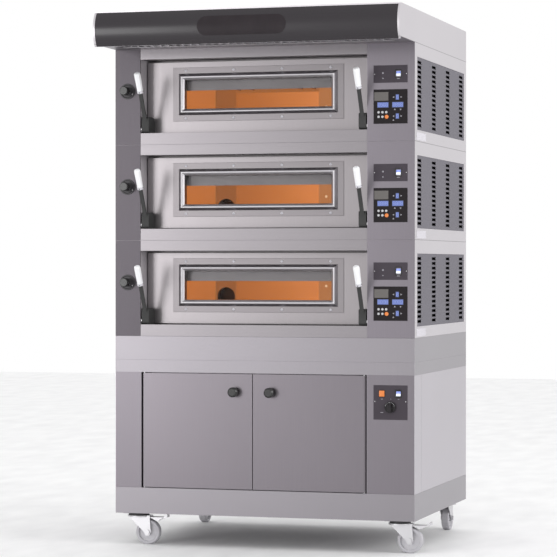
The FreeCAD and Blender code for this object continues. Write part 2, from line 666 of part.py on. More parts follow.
# ---------------------------------------------------------------- panels, switches and dial
def panel(span):
    """Plate on the front of the right column with its housing through the cut-out."""
    plate = block((PANEL_LEFT, PANEL_RIGHT), (FRONT - PANEL_PLATE, FRONT), span)
    inset = PANEL_HOUSING_INSET
    housing = block((PANEL_LEFT + inset, PANEL_RIGHT - inset), (FRONT, FRONT + PANEL_HOUSING_DEPTH),
                    (span[0] + inset, span[1] - inset))
    return fuse([plate, housing])


def switch_pocket(x, z):
    """The well in a panel that a rocker switch tilts in."""
    return block((x - SWITCH_POCKET_HALF_WIDTH, x + SWITCH_POCKET_HALF_WIDTH),
                 (FRONT - PANEL_PLATE, FRONT - PANEL_PLATE + SWITCH_POCKET_DEPTH),
                 (z - SWITCH_POCKET_HALF_HEIGHT, z + SWITCH_POCKET_HALF_HEIGHT))


def switch_centre(deck):
    """Middle of a deck's rocker switch on its panel, as (x, z)."""
    span = switch_panel_span(deck)
    return PANEL_MIDDLE + SWITCH_OFFSET, (span[0] + span[1]) / 2


def prover_switch_centre():
    """Middle of the prover's rocker switch, as (x, z)."""
    span = prover_panel_span()
    return PANEL_MIDDLE + SWITCH_OFFSET, (span[0] + span[1]) / 2 + PROVER_SWITCH_RISE


def dial_centre():
    """Middle of the thermostat dial, as (x, z)."""
    span = prover_panel_span()
    return PANEL_MIDDLE, (span[0] + span[1]) / 2 - DIAL_DROP


def rocker(x, z):
    """Rocker with two faces, lying tilted with its upper end pressed, and its pivot pin."""
    pivot_y = FRONT - PANEL_PLATE + SWITCH_PIVOT_DEPTH
    depth = SWITCH_PIVOT_DEPTH
    half = SWITCH_HALF_HEIGHT
    outline = [(-depth, half), (-depth + SWITCH_DISH, 0), (-depth, -half), (depth / 2, -half / 2),
               (depth / 2, half / 2)]
    points = [(pivot_y + y, z + rise) for y, rise in outline]
    paddle = prism_x(points, x - SWITCH_HALF_WIDTH, x + SWITCH_HALF_WIDTH)
    paddle.rotate(point(x, pivot_y, z), X_AXIS, -SWITCH_TILT_DEG)
    return paddle


def thermostat_dial():
    """Round dial with a grip bar and its spindle."""
    x, z = dial_centre()
    face = FRONT - PANEL_PLATE
    start = face - DIAL_GAP
    skirt = rod(point(x, start, z), Y_AXIS * -1, DIAL_RADIUS, DIAL_SKIRT)
    bar = block((x - DIAL_BAR_WIDTH / 2, x + DIAL_BAR_WIDTH / 2), (start - DIAL_HEIGHT, start - DIAL_SKIRT),
                (z - DIAL_BAR_LENGTH / 2, z + DIAL_BAR_LENGTH / 2))
    spindle = rod(point(x, start, z), Y_AXIS, DIAL_SPINDLE_RADIUS, DIAL_SPINDLE_REACH)
    return fuse([skirt, bar, spindle])


def prover_panel():
    """Prover control plate with the switch well and the dial's bush."""
    x, z = dial_centre()
    bore_start = point(x, FRONT - PANEL_PLATE, z)
    bore = rod(bore_start, Y_AXIS, DIAL_SPINDLE_RADIUS + RUNNING_CLEARANCE, DIAL_SPINDLE_REACH + END_PLAY)
    return panel(prover_panel_span()).cut(switch_pocket(*prover_switch_centre())).cut(bore)


# ---------------------------------------------------------------- hood and riser
def visor_section(offset):
    """Front bulge of the hood as an arc through bottom, middle and top, moved back by offset."""
    low = Z_HOOD - VISOR_DROP
    high = Z_HOOD + HOOD_HEIGHT - VISOR_TOP_MARGIN
    middle = (low + high) / 2
    return (VISOR_PLANE + offset, low), (VISOR_PLANE - VISOR_BULGE + offset, middle), (VISOR_PLANE + offset, high)


def bulge_solid(x0, x1, offset):
    """Solid between the visor arc and its chord."""
    low, middle, high = [point(x0, y, z) for y, z in visor_section(offset)]
    wire = Part.Wire([Part.Arc(low, middle, high).toShape(), Part.makeLine(high, low)])
    return Part.Face(wire).extrude(point(x1 - x0, 0, 0))


def hood_visor():
    """Glossy curved front panel."""
    skin = bulge_solid(LEFT + END_CAP, RIGHT - END_CAP, 0)
    hollow = bulge_solid(LEFT + END_CAP, RIGHT - END_CAP, VISOR_SHEET)
    return skin.cut(hollow)


def hood_shell():
    """Hollow sheet hood with an inlet slot under the overhang and a flue hole in the roof."""
    top = Z_HOOD + HOOD_HEIGHT
    outer = block((LEFT, RIGHT), (VISOR_PLANE, BACK), (Z_HOOD, top))
    inner = block((LEFT + SHEET, RIGHT - SHEET), (VISOR_PLANE + SHEET, BACK - SHEET), (Z_HOOD + SHEET, top - SHEET))
    inlet = block((LEFT + INLET_SIDE_MARGIN, RIGHT - INLET_SIDE_MARGIN),
                  (FRONT - INLET_SETBACK - INLET_WIDTH, FRONT - INLET_SETBACK), (Z_HOOD, Z_HOOD + SHEET))
    lip = block((LEFT + END_CAP, RIGHT - END_CAP), (VISOR_PLANE, VISOR_PLANE + SHEET), (Z_HOOD - VISOR_DROP, Z_HOOD))
    flue = rod(point(0, BACK - SPIGOT_SETBACK, top - SHEET), Z_AXIS, SPIGOT_RADIUS - SPIGOT_WALL, SHEET)
    return fuse([outer.cut(inner).cut(inlet).cut(flue), lip])


def flue_spigot():
    """Round collar on the hood's roof that takes the extraction duct."""
    base = point(0, BACK - SPIGOT_SETBACK, Z_HOOD + HOOD_HEIGHT)
    duct = rod(base, Z_AXIS, SPIGOT_RADIUS - SPIGOT_WALL, SPIGOT_HEIGHT)
    return rod(base, Z_AXIS, SPIGOT_RADIUS, SPIGOT_HEIGHT).cut(duct)


def hood_end_caps():
    """Curved cheeks welded to the hood at both ends of the visor."""
    return [bulge_solid(LEFT, LEFT + END_CAP, 0), bulge_solid(RIGHT - END_CAP, RIGHT, 0)]


def riser():
    """Plain band that spaces the decks from the prover cabinet."""
    outer = block((LEFT, RIGHT), (FRONT, BACK), (Z_STAND, Z_DECKS))
    inner = block((LEFT + SHEET, RIGHT - SHEET), (FRONT + SHEET, BACK - SHEET), (Z_STAND, Z_DECKS))
    return outer.cut(inner)


# ---------------------------------------------------------------- prover cabinet
def stand_cabinet():
    """Prover cabinet body with its side bays and base rail."""
    outer = block((LEFT, RIGHT), (FRONT, BACK), (Z_BASE, Z_STAND))
    y_inside = (FRONT + SHEET, BACK - SHEET)
    base_space = block((LEFT + SHEET, RIGHT - SHEET), y_inside, (Z_BASE + SHEET, Z_FLOOR - SHEET))
    left_bay = block((LEFT + SHEET, CABINET_LEFT - SHEET), y_inside, (Z_FLOOR, Z_STAND - SHEET))
    right_bay = block((CABINET_RIGHT + SHEET, RIGHT - SHEET), y_inside, (Z_FLOOR, Z_STAND - SHEET))
    cavity = block((CABINET_LEFT, CABINET_RIGHT), (FRONT, BACK - SHEET), (Z_FLOOR, Z_CEILING))
    attic = block((CABINET_LEFT, CABINET_RIGHT), y_inside, (Z_CEILING + SHEET, Z_STAND - SHEET))
    links = []
    for bay_x in (CABINET_LEFT - SHEET, CABINET_RIGHT):
        links.append(rod(point(bay_x, 0, Z_STAND - TOP_RAIL / 2), X_AXIS, SERVICE_HOLE_RADIUS, SHEET))
    service_x = ((LEFT + CABINET_LEFT) / 2, (RIGHT + CABINET_RIGHT) / 2)
    links += [rod(point(x, 0, Z_FLOOR - SHEET), Z_AXIS, SERVICE_HOLE_RADIUS, SHEET) for x in service_x]
    gland = rod(point(GLAND_X, BACK - SHEET, Z_CEILING), Y_AXIS, GLAND_THREAD + GLAND_HOLE_PLAY, SHEET)
    body = outer
    for hollow in [base_space, left_bay, right_bay, cavity, attic, gland] + links:
        body = body.cut(hollow)
    body = body.cut(panel_cutout(prover_panel_span()))
    stop_y = (FRONT + CABINET_DOOR_THICKNESS + END_PLAY, FRONT + CABINET_DOOR_THICKNESS + END_PLAY + SHEET)
    stop_x = (CABINET_LEFT + STOP_END_MARGIN, CABINET_RIGHT - STOP_END_MARGIN)
    stops = [block(stop_x, stop_y, (Z_CEILING - DOOR_STOP, Z_CEILING)),
             block(stop_x, stop_y, (Z_FLOOR, Z_FLOOR + DOOR_STOP))]
    return fuse([body] + stops)


def cabinet_door(side):
    """Hollow flush door. Side -1 hinges at the left edge and 1 at the right edge."""
    hinge_edge = (CABINET_LEFT + CABINET_DOOR_GAP) if side < 0 else (CABINET_RIGHT - CABINET_DOOR_GAP)
    free_edge = CABINET_MIDDLE + side * CABINET_MEETING_GAP / 2
    inward = -side
    x = tuple(sorted((hinge_edge, free_edge)))
    y = (FRONT, FRONT + CABINET_DOOR_THICKNESS)
    z = (Z_FLOOR + CABINET_DOOR_GAP, Z_CEILING - CABINET_DOOR_GAP)
    inner = block((x[0] + DOOR_SKIN, x[1] - DOOR_SKIN), (y[0] + DOOR_SKIN, y[1] - DOOR_SKIN),
                  (z[0] + DOOR_SKIN, z[1] - DOOR_SKIN))
    stile_x = tuple(sorted((hinge_edge, hinge_edge + inward * CABINET_STILE)))
    drain = rod(point((x[0] + x[1]) / 2, (y[0] + y[1]) / 2, z[0]), Z_AXIS, 2 * DOOR_SKIN, DOOR_SKIN)
    door = fuse([block(x, y, z).cut(inner), block(stile_x, y, z)]).cut(drain)
    pivot_x = hinge_edge + inward * CABINET_PIVOT
    pivot_y = FRONT + CABINET_PIVOT
    corner_x = tuple(sorted((hinge_edge, pivot_x)))
    square = block(corner_x, (FRONT, pivot_y), z)
    round_edge = rod(point(pivot_x, pivot_y, z[0]), Z_AXIS, CABINET_PIVOT, z[1] - z[0])
    door = door.cut(square.cut(round_edge))
    bore_radius = CABINET_PIN_RADIUS + RUNNING_CLEARANCE
    for start in (z[0], z[1] - CABINET_PIN_REACH):
        door = door.cut(rod(point(pivot_x, pivot_y, start), Z_AXIS, bore_radius, CABINET_PIN_REACH))
    return door


def cabinet_pins():
    """Short pins in the floor and ceiling of the cabinet, one pair per door."""
    reach = CABINET_DOOR_GAP + CABINET_PIN_REACH - END_PLAY
    pins = []
    for x in (CABINET_LEFT + CABINET_DOOR_GAP + CABINET_PIVOT, CABINET_RIGHT - CABINET_DOOR_GAP - CABINET_PIVOT):
        for start in (Z_FLOOR, Z_CEILING - reach):
            pins.append(rod(point(x, FRONT + CABINET_PIVOT, start), Z_AXIS, CABINET_PIN_RADIUS, reach))
    return pins


def cabinet_knob(side):
    """Round black pull on a cabinet door."""
    base = point(CABINET_MIDDLE + side * CABINET_KNOB_INSET, FRONT, Z_CEILING - CABINET_KNOB_DROP)
    neck = CABINET_KNOB_NECK
    total = neck + CABINET_KNOB_HEAD
    soft = CABINET_KNOB_HEAD / 4
    profile = [(0, 0), (CABINET_KNOB_NECK_RADIUS, 0), (CABINET_KNOB_NECK_RADIUS, neck)]
    profile += [(CABINET_KNOB_RADIUS - soft / 2, neck), (CABINET_KNOB_RADIUS, neck + soft / 2)]
    profile += [(CABINET_KNOB_RADIUS, total - soft), (CABINET_KNOB_RADIUS - soft, total), (0, total)]
    return turned(profile, base, Y_AXIS * -1)


def runner_rack(side):
    """Uprights and angle runners that carry dough trays, fixed to one side wall."""
    wall = CABINET_LEFT if side < 0 else CABINET_RIGHT
    inward = -side

    def across(near, far):
        return tuple(sorted((wall + inward * near, wall + inward * far)))

    front = FRONT + CABINET_DOOR_THICKNESS + RUNNER_MARGIN
    back = BACK - RUNNER_MARGIN
    z = (Z_FLOOR + RUNNER_MARGIN, Z_CEILING - RUNNER_MARGIN)
    middle = (front + back) / 2
    pieces = []
    for y in (front, middle - UPRIGHT_WIDTH / 2, back - UPRIGHT_WIDTH):
        pieces.append(block(across(0, UPRIGHT_SHEET), (y, y + UPRIGHT_WIDTH), z))
    pitch = (z[1] - z[0] - RUNNER_MARGIN) / (RUNNER_COUNT - 1)
    for index in range(RUNNER_COUNT):
        level = z[0] + RUNNER_MARGIN / 2 + index * pitch
        web = block(across(UPRIGHT_SHEET, UPRIGHT_SHEET + SHEET), (front, back), (level, level + RUNNER_LIP))
        shelf = block(across(UPRIGHT_SHEET, UPRIGHT_SHEET + RUNNER_WIDTH), (front, back), (level, level + SHEET))
        pieces.append(fuse([web, shelf]))
    return pieces


def prover_element():
    """Hairpin element just above the prover's floor."""
    return hairpin(CABINET_MIDDLE, Z_FLOOR + PROVER_ELEMENT_RISE, BACK - SHEET - PROVER_ELEMENT_LENGTH, BACK - SHEET)


def cable_gland(z):
    """Gland for a supply cable through the back, with a through bore."""
    x = GLAND_X
    tail = rod(point(x, BACK - SHEET - GLAND_TAIL, z), Y_AXIS, GLAND_THREAD, SHEET + GLAND_TAIL)
    flange = rod(point(x, BACK, z), Y_AXIS, GLAND_FLANGE, GLAND_FLANGE_LENGTH)
    nose = rod(point(x, BACK + GLAND_FLANGE_LENGTH, z), Y_AXIS, GLAND_NOSE, GLAND_NOSE_LENGTH)
    total = SHEET + GLAND_TAIL + GLAND_FLANGE_LENGTH + GLAND_NOSE_LENGTH
    bore = rod(point(x, BACK - SHEET - GLAND_TAIL, z), Y_AXIS, GLAND_BORE, total)
    return fuse([tail, flange, nose]).cut(bore)


# ---------------------------------------------------------------- castors
# Each castor is drawn with its swivel axis at x = y = 0 and its wheel trailing to +X, then placed.
HEAD_TOP = CASTOR_HEIGHT - CASTOR_PLATE - CASTOR_RACE - CASTOR_SWIVEL_GAP
HEAD_BOTTOM = HEAD_TOP - FORK_HEAD
FORK_INNER = WHEEL_WIDTH / 2 + WHEEL_SIDE_GAP
FORK_OUTER = FORK_INNER + FORK_SHEET
PEDAL_PIVOT_Z = HEAD_BOTTOM - PEDAL_HEAD_GAP - PEDAL_PIN_RADIUS
KINGPIN_LENGTH = CASTOR_RACE + CASTOR_SWIVEL_GAP + FORK_HEAD


def castor_places():
    """Name, swivel position and trailing direction in degrees of each castor."""
    x = RIGHT - CASTOR_INSET
    y = BACK - CASTOR_SETBACK
    return [("front_left", -x, -y, 0), ("front_right", x, -y, 0), ("rear_left", -x, y, 90), ("rear_right", x, y, 90)]


def placed(shape, x, y, turn):
    """A castor piece turned about its swivel axis and moved to its corner."""
    moved = shape.copy()
    moved.rotate(point(0, 0, 0), Z_AXIS, turn)
    moved.translate(point(x, y, 0))
    return moved


def castor_plate():
    """Top plate with its bearing race and kingpin."""
    underside = CASTOR_HEIGHT - CASTOR_PLATE
    half_length = CASTOR_PLATE_LENGTH / 2
    half_width = CASTOR_PLATE_WIDTH / 2
    plate = block((-half_length, half_length), (-half_width, half_width), (underside, CASTOR_HEIGHT))
    race = rod(point(0, 0, underside - CASTOR_RACE), Z_AXIS, CASTOR_RACE_RADIUS, CASTOR_RACE)
    kingpin = rod(point(0, 0, underside - KINGPIN_LENGTH), Z_AXIS, KINGPIN_RADIUS, KINGPIN_LENGTH)
    return fuse([plate, race, kingpin])


def castor_fork():
    """Swivel head with two tapering legs."""
    head = rod(point(0, 0, HEAD_BOTTOM), Z_AXIS, FORK_HEAD_RADIUS, FORK_HEAD)
    nose_x = PEDAL_PIVOT_TRAIL + PEDAL_EYE
    bridge = block((0, nose_x), (-FORK_OUTER, FORK_OUTER), (HEAD_BOTTOM, HEAD_TOP))
    boss_z = WHEEL_RADIUS
    shoulder = math.sqrt(FORK_HEAD_RADIUS ** 2 - FORK_OUTER ** 2)
    pedal_floor = PEDAL_PIVOT_Z - PEDAL_EYE
    outline = [(-shoulder, HEAD_TOP), (nose_x, HEAD_TOP), (nose_x, pedal_floor), (WHEEL_TRAIL + FORK_BOSS, boss_z),
               (WHEEL_TRAIL + FORK_BOSS / 2, boss_z - FORK_BOSS), (WHEEL_TRAIL - FORK_BOSS / 2, boss_z - FORK_BOSS),
               (WHEEL_TRAIL - FORK_BOSS, boss_z)]
    legs = [prism_y(outline, FORK_INNER, FORK_OUTER), prism_y(outline, -FORK_OUTER, -FORK_INNER)]
    kingpin_bore = rod(point(0, 0, HEAD_BOTTOM), Z_AXIS, KINGPIN_RADIUS + RUNNING_CLEARANCE, FORK_HEAD)
    pedal_bore = rod(point(PEDAL_PIVOT_TRAIL, -FORK_OUTER, PEDAL_PIVOT_Z), Y_AXIS,
                     PEDAL_PIN_RADIUS + RUNNING_CLEARANCE, 2 * FORK_OUTER)
    return fuse([head, bridge] + legs).cut(kingpin_bore).cut(pedal_bore)


def castor_axle():
    """Axle bolt across the fork, with a head on each side."""
    start = point(WHEEL_TRAIL, -FORK_OUTER, WHEEL_RADIUS)
    shank = rod(start, Y_AXIS, AXLE_RADIUS, 2 * FORK_OUTER)
    near = rod(start, Y_AXIS * -1, AXLE_HEAD_RADIUS, AXLE_HEAD)
    far = rod(point(WHEEL_TRAIL, FORK_OUTER, WHEEL_RADIUS), Y_AXIS, AXLE_HEAD_RADIUS, AXLE_HEAD)
    return fuse([shank, near, far])


def castor_wheel():
    """Wheel with a tread band, a thinner web and a hub."""
    half = WHEEL_WIDTH / 2
    rim = WHEEL_RADIUS - 2 * WHEEL_TREAD
    bore = AXLE_RADIUS + RUNNING_CLEARANCE
    soft = WHEEL_TREAD / 2
    profile = [(bore, -half), (WHEEL_HUB_RADIUS, -half), (WHEEL_HUB_RADIUS, -WHEEL_WEB / 2), (rim, -WHEEL_WEB / 2),
               (rim, -half), (WHEEL_RADIUS - soft, -half), (WHEEL_RADIUS, -half + soft), (WHEEL_RADIUS, half - soft),
               (WHEEL_RADIUS - soft, half), (rim, half), (rim, WHEEL_WEB / 2), (WHEEL_HUB_RADIUS, WHEEL_WEB / 2),
               (WHEEL_HUB_RADIUS, half), (bore, half)]
    return turned(profile, point(WHEEL_TRAIL, 0, WHEEL_RADIUS), Y_AXIS)


def brake_pedal():
    """Foot pedal on its pin in the fork, with cheeks that come down beside the tread."""
    half = PEDAL_WIDTH / 2
    pivot = point(PEDAL_PIVOT_TRAIL, 0, PEDAL_PIVOT_Z)
    tip = PEDAL_PIVOT_TRAIL + PEDAL_LENGTH
    top = HEAD_BOTTOM - PEDAL_HEAD_GAP
    clear = WHEEL_RADIUS + PEDAL_WHEEL_GAP
    wheel_top = rod(point(WHEEL_TRAIL, -half, WHEEL_RADIUS), Y_AXIS, clear, PEDAL_WIDTH)
    outline = [(PEDAL_PIVOT_TRAIL - PEDAL_PIN_RADIUS, top), (tip - 4 * PEDAL_SHEET, top),
               (tip - PEDAL_SHEET, top + PEDAL_TOE_RISE), (tip, top + PEDAL_TOE_RISE), (tip, top),
               (tip - PEDAL_LENGTH / 4, top - PEDAL_SHEET),
               (tip - PEDAL_LENGTH / 2, top - PEDAL_CHEEK_DROP), (PEDAL_PIVOT_TRAIL - PEDAL_PIN_RADIUS, top - PEDAL_HEEL)]
    body = prism_y(outline, -half, half).cut(wheel_top)
    reach = FORK_OUTER
    pin = rod(pivot - Y_AXIS * reach, Y_AXIS, PEDAL_PIN_RADIUS, 2 * reach)
    return fuse([body, pin])


# ---------------------------------------------------------------- build
def build_decks():
    for deck in range(1, DECK_COUNT + 1):
        prefix = "deck{}_".format(deck)
        export(prefix + "casing", casing(deck))
        export(prefix + "front_frame", front_frame(deck))
        export(prefix + "chamber", [chamber(deck)])
        export(prefix + "door", [oven_door(deck)])
        export(prefix + "window_frame", [window_frame(deck)])
        export(prefix + "glass", window_panes(deck))
        export(prefix + "levers", [lever(deck, span) for span in hub_spans()])
        export(prefix + "grips", [grip(deck, span) for span in hub_spans()])
        export(prefix + "vent_knob", [vent_knob(deck)])
        export(prefix + "switch", [rocker(*switch_centre(deck))])


def build_shared():
    decks = range(1, DECK_COUNT + 1)
    panels = [prover_panel()]
    for deck in decks:
        panels.append(panel(display_panel_span(deck)))
        panels.append(panel(switch_panel_span(deck)).cut(switch_pocket(*switch_centre(deck))))
    export("control_panels", panels)
    export("louvre_panels", [louvre_panel(deck) for deck in decks])
    export("baking_stones", [baking_stone(deck) for deck in decks])
    elements = [prover_element()]
    pins = cabinet_pins()
    for deck in decks:
        elements += deck_elements(deck)
        pins += pivot_pins(deck)
    export("heating_elements", elements)
    export("hinge_pins", pins)
    export("insulation", [insulation(deck) for deck in decks])
    glands = [cable_gland(deck_bottom(deck) + GLAND_RISE) for deck in decks]
    export("cable_glands", glands + [cable_gland(Z_CEILING)])


def build_hood_and_stand():
    export("hood_shell", [hood_shell()] + hood_end_caps())
    export("hood_visor", [hood_visor()])
    export("flue_spigot", [flue_spigot()])
    export("riser", [riser()])
    export("stand_cabinet", [stand_cabinet()])
    export("tray_runners", runner_rack(-1) + runner_rack(1))
    for name, side in (("left", -1), ("right", 1)):
        export("cabinet_door_" + name, [cabinet_door(side)])
        export("cabinet_knob_" + name, [cabinet_knob(side)])
    export("prover_switch", [rocker(*prover_switch_centre())])
    export("thermostat_dial", [thermostat_dial()])


def build_castors():
    plates = []
    for name, x, y, turn in castor_places():
        plates.append(placed(castor_plate(), x, y, turn))
        fork = [placed(castor_fork(), x, y, turn), placed(castor_axle(), x, y, turn)]
        export("castor_fork_" + name, fork)
        export("castor_wheel_" + name, [placed(castor_wheel(), x, y, turn)])
        if name.startswith("front"):
            export("brake_pedal_" + name, [placed(brake_pedal(), x, y, turn)])
    export("castor_plates", plates)


os.makedirs("parts", exist_ok=True)
build_decks()
build_shared()
build_hood_and_stand()
build_castors()
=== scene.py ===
"""Looks of a three-deck bakery oven on a prover cabinet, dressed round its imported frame.

Metres. +Z is up and the front faces -Y. Every piece takes its place from the frame's nodes.
"""
import json
import logging
import math
from contextlib import contextmanager
from dataclasses import dataclass
from enum import Enum
from typing import Callable, Iterator

import bmesh
import bpy
from mathutils import Matrix, Vector


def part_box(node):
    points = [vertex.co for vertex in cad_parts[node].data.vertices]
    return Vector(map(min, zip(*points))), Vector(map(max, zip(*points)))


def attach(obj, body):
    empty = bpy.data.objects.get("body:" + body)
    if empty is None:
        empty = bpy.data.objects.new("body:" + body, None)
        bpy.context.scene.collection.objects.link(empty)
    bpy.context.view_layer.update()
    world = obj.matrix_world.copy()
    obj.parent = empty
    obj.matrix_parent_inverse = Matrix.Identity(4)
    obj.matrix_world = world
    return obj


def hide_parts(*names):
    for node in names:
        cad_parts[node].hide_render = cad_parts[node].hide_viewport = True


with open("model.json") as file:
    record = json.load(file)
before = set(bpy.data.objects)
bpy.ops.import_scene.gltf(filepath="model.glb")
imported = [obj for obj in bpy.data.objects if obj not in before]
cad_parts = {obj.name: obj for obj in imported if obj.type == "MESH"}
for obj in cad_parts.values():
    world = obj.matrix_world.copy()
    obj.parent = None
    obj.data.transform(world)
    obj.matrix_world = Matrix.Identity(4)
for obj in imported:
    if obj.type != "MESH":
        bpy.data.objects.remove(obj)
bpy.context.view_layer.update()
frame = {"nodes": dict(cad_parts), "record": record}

Colour = tuple[float, float, float]
Point = tuple[float, float, float]
Piece = bpy.types.Object
FaceTest = Callable[[Vector, Vector], bool]
DECKS = (1, 2, 3)
SHEET = 0.002
FRONTWARD = Vector((0, -1, 0))
RIGHTWARD = Vector((1, 0, 0))
UPWARD = Vector((0, 0, 1))
log = logging.getLogger("oven")


# ---------------------------------------------------------------- shader maths
class Value:
    """A shader socket that takes arithmetic. Each expression adds its Math nodes."""

    def __init__(self, shader: "Shader", socket: bpy.types.NodeSocket | None) -> None:
        """Wraps one socket of a shader."""
        self.shader = shader
        self.socket = socket

    def _math(self, operation: str, first: "Value | float", second: "Value | float") -> "Value":
        """One Math node on two operands."""
        return self.shader.node("ShaderNodeMath", {"operation": operation}, {0: first, 1: second})

    def __add__(self, other: "Value | float") -> "Value":
        """Sum."""
        return self._math("ADD", self, other)

    __radd__ = __add__

    def __sub__(self, other: "Value | float") -> "Value":
        """Difference."""
        return self._math("SUBTRACT", self, other)

    def __rsub__(self, other: float) -> "Value":
        """Difference from a number."""
        return self._math("SUBTRACT", other, self)

    def __mul__(self, other: "Value | float") -> "Value":
        """Product."""
        return self._math("MULTIPLY", self, other)

    __rmul__ = __mul__

    def above(self, edge: float) -> "Value":
        """One where the value is over an edge, else zero."""
        return self._math("GREATER_THAN", self, edge)

    def between(self, low: float, high: float) -> "Value":
        """One between two edges, else zero."""
        return self.above(low) * (1 - self.above(high))

    def bands(self, edges: list[tuple[float, float]]) -> "Value":
        """One within any of several bands, else zero."""
        found = self.between(*edges[0])
        for low, high in edges[1:]:
            found = found + self.between(low, high)
        return found

    def modulo(self, period: float) -> "Value":
        """What is left over a period."""
        return self._math("FLOORED_MODULO", self, period)


class Shader:
    """One material's node tree under construction."""

    def __init__(self, name: str) -> None:
        """Starts an empty material."""
        self.material = bpy.data.materials.new(name)
        self.material.use_nodes = True
        self.tree = self.material.node_tree
        self.tree.nodes.clear()

    def node(self, kind: str, settings: dict, sockets: dict, output: int | str = 0) -> Value:
        """Adds a node.

        Args:
            kind: The node's type.
            settings: Its attributes, set first. "stops" gives a ramp's positions and colours.
            sockets: Values or links of its inputs, by index or name.
            output: Which output to return.

        Returns:
            The output as a Value.
        """
        made = self.tree.nodes.new(kind)
        for key, value in settings.items():
            if key == "stops":
                self._set_stops(made.color_ramp, value)
            else:
                setattr(made, key, value)
        for key, value in sockets.items():
            if isinstance(value, Value):
                self.tree.links.new(value.socket, made.inputs[key])
            elif made.inputs[key].type == "RGBA":
                made.inputs[key].default_value = (*value, 1.0)
            else:
                made.inputs[key].default_value = value
        return Value(self, made.outputs[output] if made.outputs else None)

    @staticmethod
    def _set_stops(ramp: bpy.types.ColorRamp, stops: list[tuple[float, Colour]]) -> None:
        """Gives a colour ramp its stops."""
        while len(ramp.elements) < len(stops):
            ramp.elements.new(1.0)
        for element, (position, colour) in zip(ramp.elements, stops):
            element.position = position
            element.color = (*colour, 1.0)

    def place(self) -> Value:
        """Object coordinates, which are the frame's own metres."""
        return self.node("ShaderNodeTexCoord", {}, {}, "Object")

    def along(self, axis: int) -> Value:
        """One component of the place, 0 for X, 1 for Y, 2 for Z."""
        return self.node("ShaderNodeSeparateXYZ", {}, {0: self.place()}, axis)

    def noise(self, scale: Point, detail: float = 2.0) -> Value:
        """Noise with its own number of features per metre along each axis."""
        spread = self.node("ShaderNodeMapping", {}, {"Vector": self.place(), "Scale": scale})
        return self.node("ShaderNodeTexNoise", {}, {"Vector": spread, "Scale": 1.0, "Detail": detail})

    def even_noise(self, scale: float, detail: float = 2.0) -> Value:
        """Noise with the same number of features per metre along every axis."""
        return self.noise((scale, scale, scale), detail)

    def blend(self, factor: Value | float, first: "Value | Colour", second: "Value | Colour") -> Value:
        """Mixes two colours."""
        return self.node("ShaderNodeMix", {"data_type": "RGBA"}, {0: factor, 6: first, 7: second}, 2)

    def vector(self, operation: str, first: Value, second: "Value | Point" = (0, 0, 0),
               output: int | str = 0) -> Value:
        """Vector maths on a place or a colour."""
        return self.node("ShaderNodeVectorMath", {"operation": operation}, {0: first, 1: second}, output)

    def bump(self, height: Value, strength: float, distance: float) -> Value:
        """Normal from a height."""
        return self.node("ShaderNodeBump", {}, {"Strength": strength, "Distance": distance, "Height": height})

    def surface(self, sockets: dict) -> None:
        """Ends the tree with a principled surface."""
        coat = self.node("ShaderNodeBsdfPrincipled", {}, sockets)
        self.node("ShaderNodeOutputMaterial", {}, {"Surface": coat})


def shade(colour: Colour, factor: float) -> Colour:
    """A colour made lighter or darker."""
    return tuple(min(1.0, part * factor) for part in colour)


# ---------------------------------------------------------------- finishes
STROKE_RELIEF = 0.05
STROKE_DEPTH = 0.0002


class Grain(Enum):
    """Direction of brushing, as noise features per metre along X, Y and Z."""

    LEVEL = (5.0, 650.0, 650.0)
    UPRIGHT = (650.0, 650.0, 5.0)
    DEEP = (650.0, 5.0, 650.0)


@dataclass(frozen=True)
class Finish:
    """What every finish has: a name, a base colour and a roughness."""

    name: str
    colour: Colour
    roughness: float

    def paint(self, shader: Shader) -> None:
        """Builds the node tree. Each kind of finish has its own."""
        raise NotImplementedError

    def material(self) -> bpy.types.Material:
        """The material, made once. One that the frame already holds under this name is used as it is."""
        known = bpy.data.materials.get(self.name)
        if known is None:
            shader = Shader(self.name)
            self.paint(shader)
            known = shader.material
        return known

    def dress(self, piece: Piece) -> None:
        """Puts the material on every slot of a piece."""
        if not piece.material_slots:
            piece.data.materials.append(self.material())
        for slot in piece.material_slots:
            slot.material = self.material()


@dataclass(frozen=True)
class BrushedSteel(Finish):
    """Stainless sheet with fine strokes and faint broad clouds."""

    grain: Grain = Grain.UPRIGHT
    contrast: float = 0.16

    def tone(self, shader: Shader, grain: Grain) -> tuple[Value, Value]:
        """The strokes, and the strokes with the clouds."""
        strokes = shader.noise(grain.value, 3.0)
        clouds = shader.noise((1.6, 1.6, 1.1), 1.0)
        return strokes, strokes * 0.55 + clouds * 0.45

    def varied(self, shader: Shader, tone: Value, colour: Colour) -> Value:
        """A colour that the tone makes lighter and darker."""
        return shader.blend(tone, shade(colour, 1 - self.contrast), shade(colour, 1 + self.contrast))

    def worn(self, shader: Shader, tone: Value, base: Value) -> Value:
        """The same for a colour that itself changes from place to place."""
        worn = shader.blend(tone, (1 - self.contrast,) * 3, (1 + self.contrast,) * 3)
        return shader.vector("MULTIPLY", base, worn)

    def brushed(self, shader: Shader, strokes: Value, colour: Value) -> None:
        """Ends the tree with bare metal whose gloss and relief follow the strokes."""
        shader.surface({"Base Color": colour, "Metallic": 1.0, "Roughness": self.gloss(strokes),
                        "Normal": shader.bump(strokes, STROKE_RELIEF, STROKE_DEPTH)})

    def gloss(self, strokes: Value) -> Value:
        """Roughness, a little higher on one stroke than on the next."""
        return strokes * 0.16 + (self.roughness - 0.08)

    def paint(self, shader: Shader) -> None:
        """Colour, roughness and relief from the strokes."""
        strokes, tone = self.tone(shader, self.grain)
        self.brushed(shader, strokes, self.varied(shader, tone, self.colour))


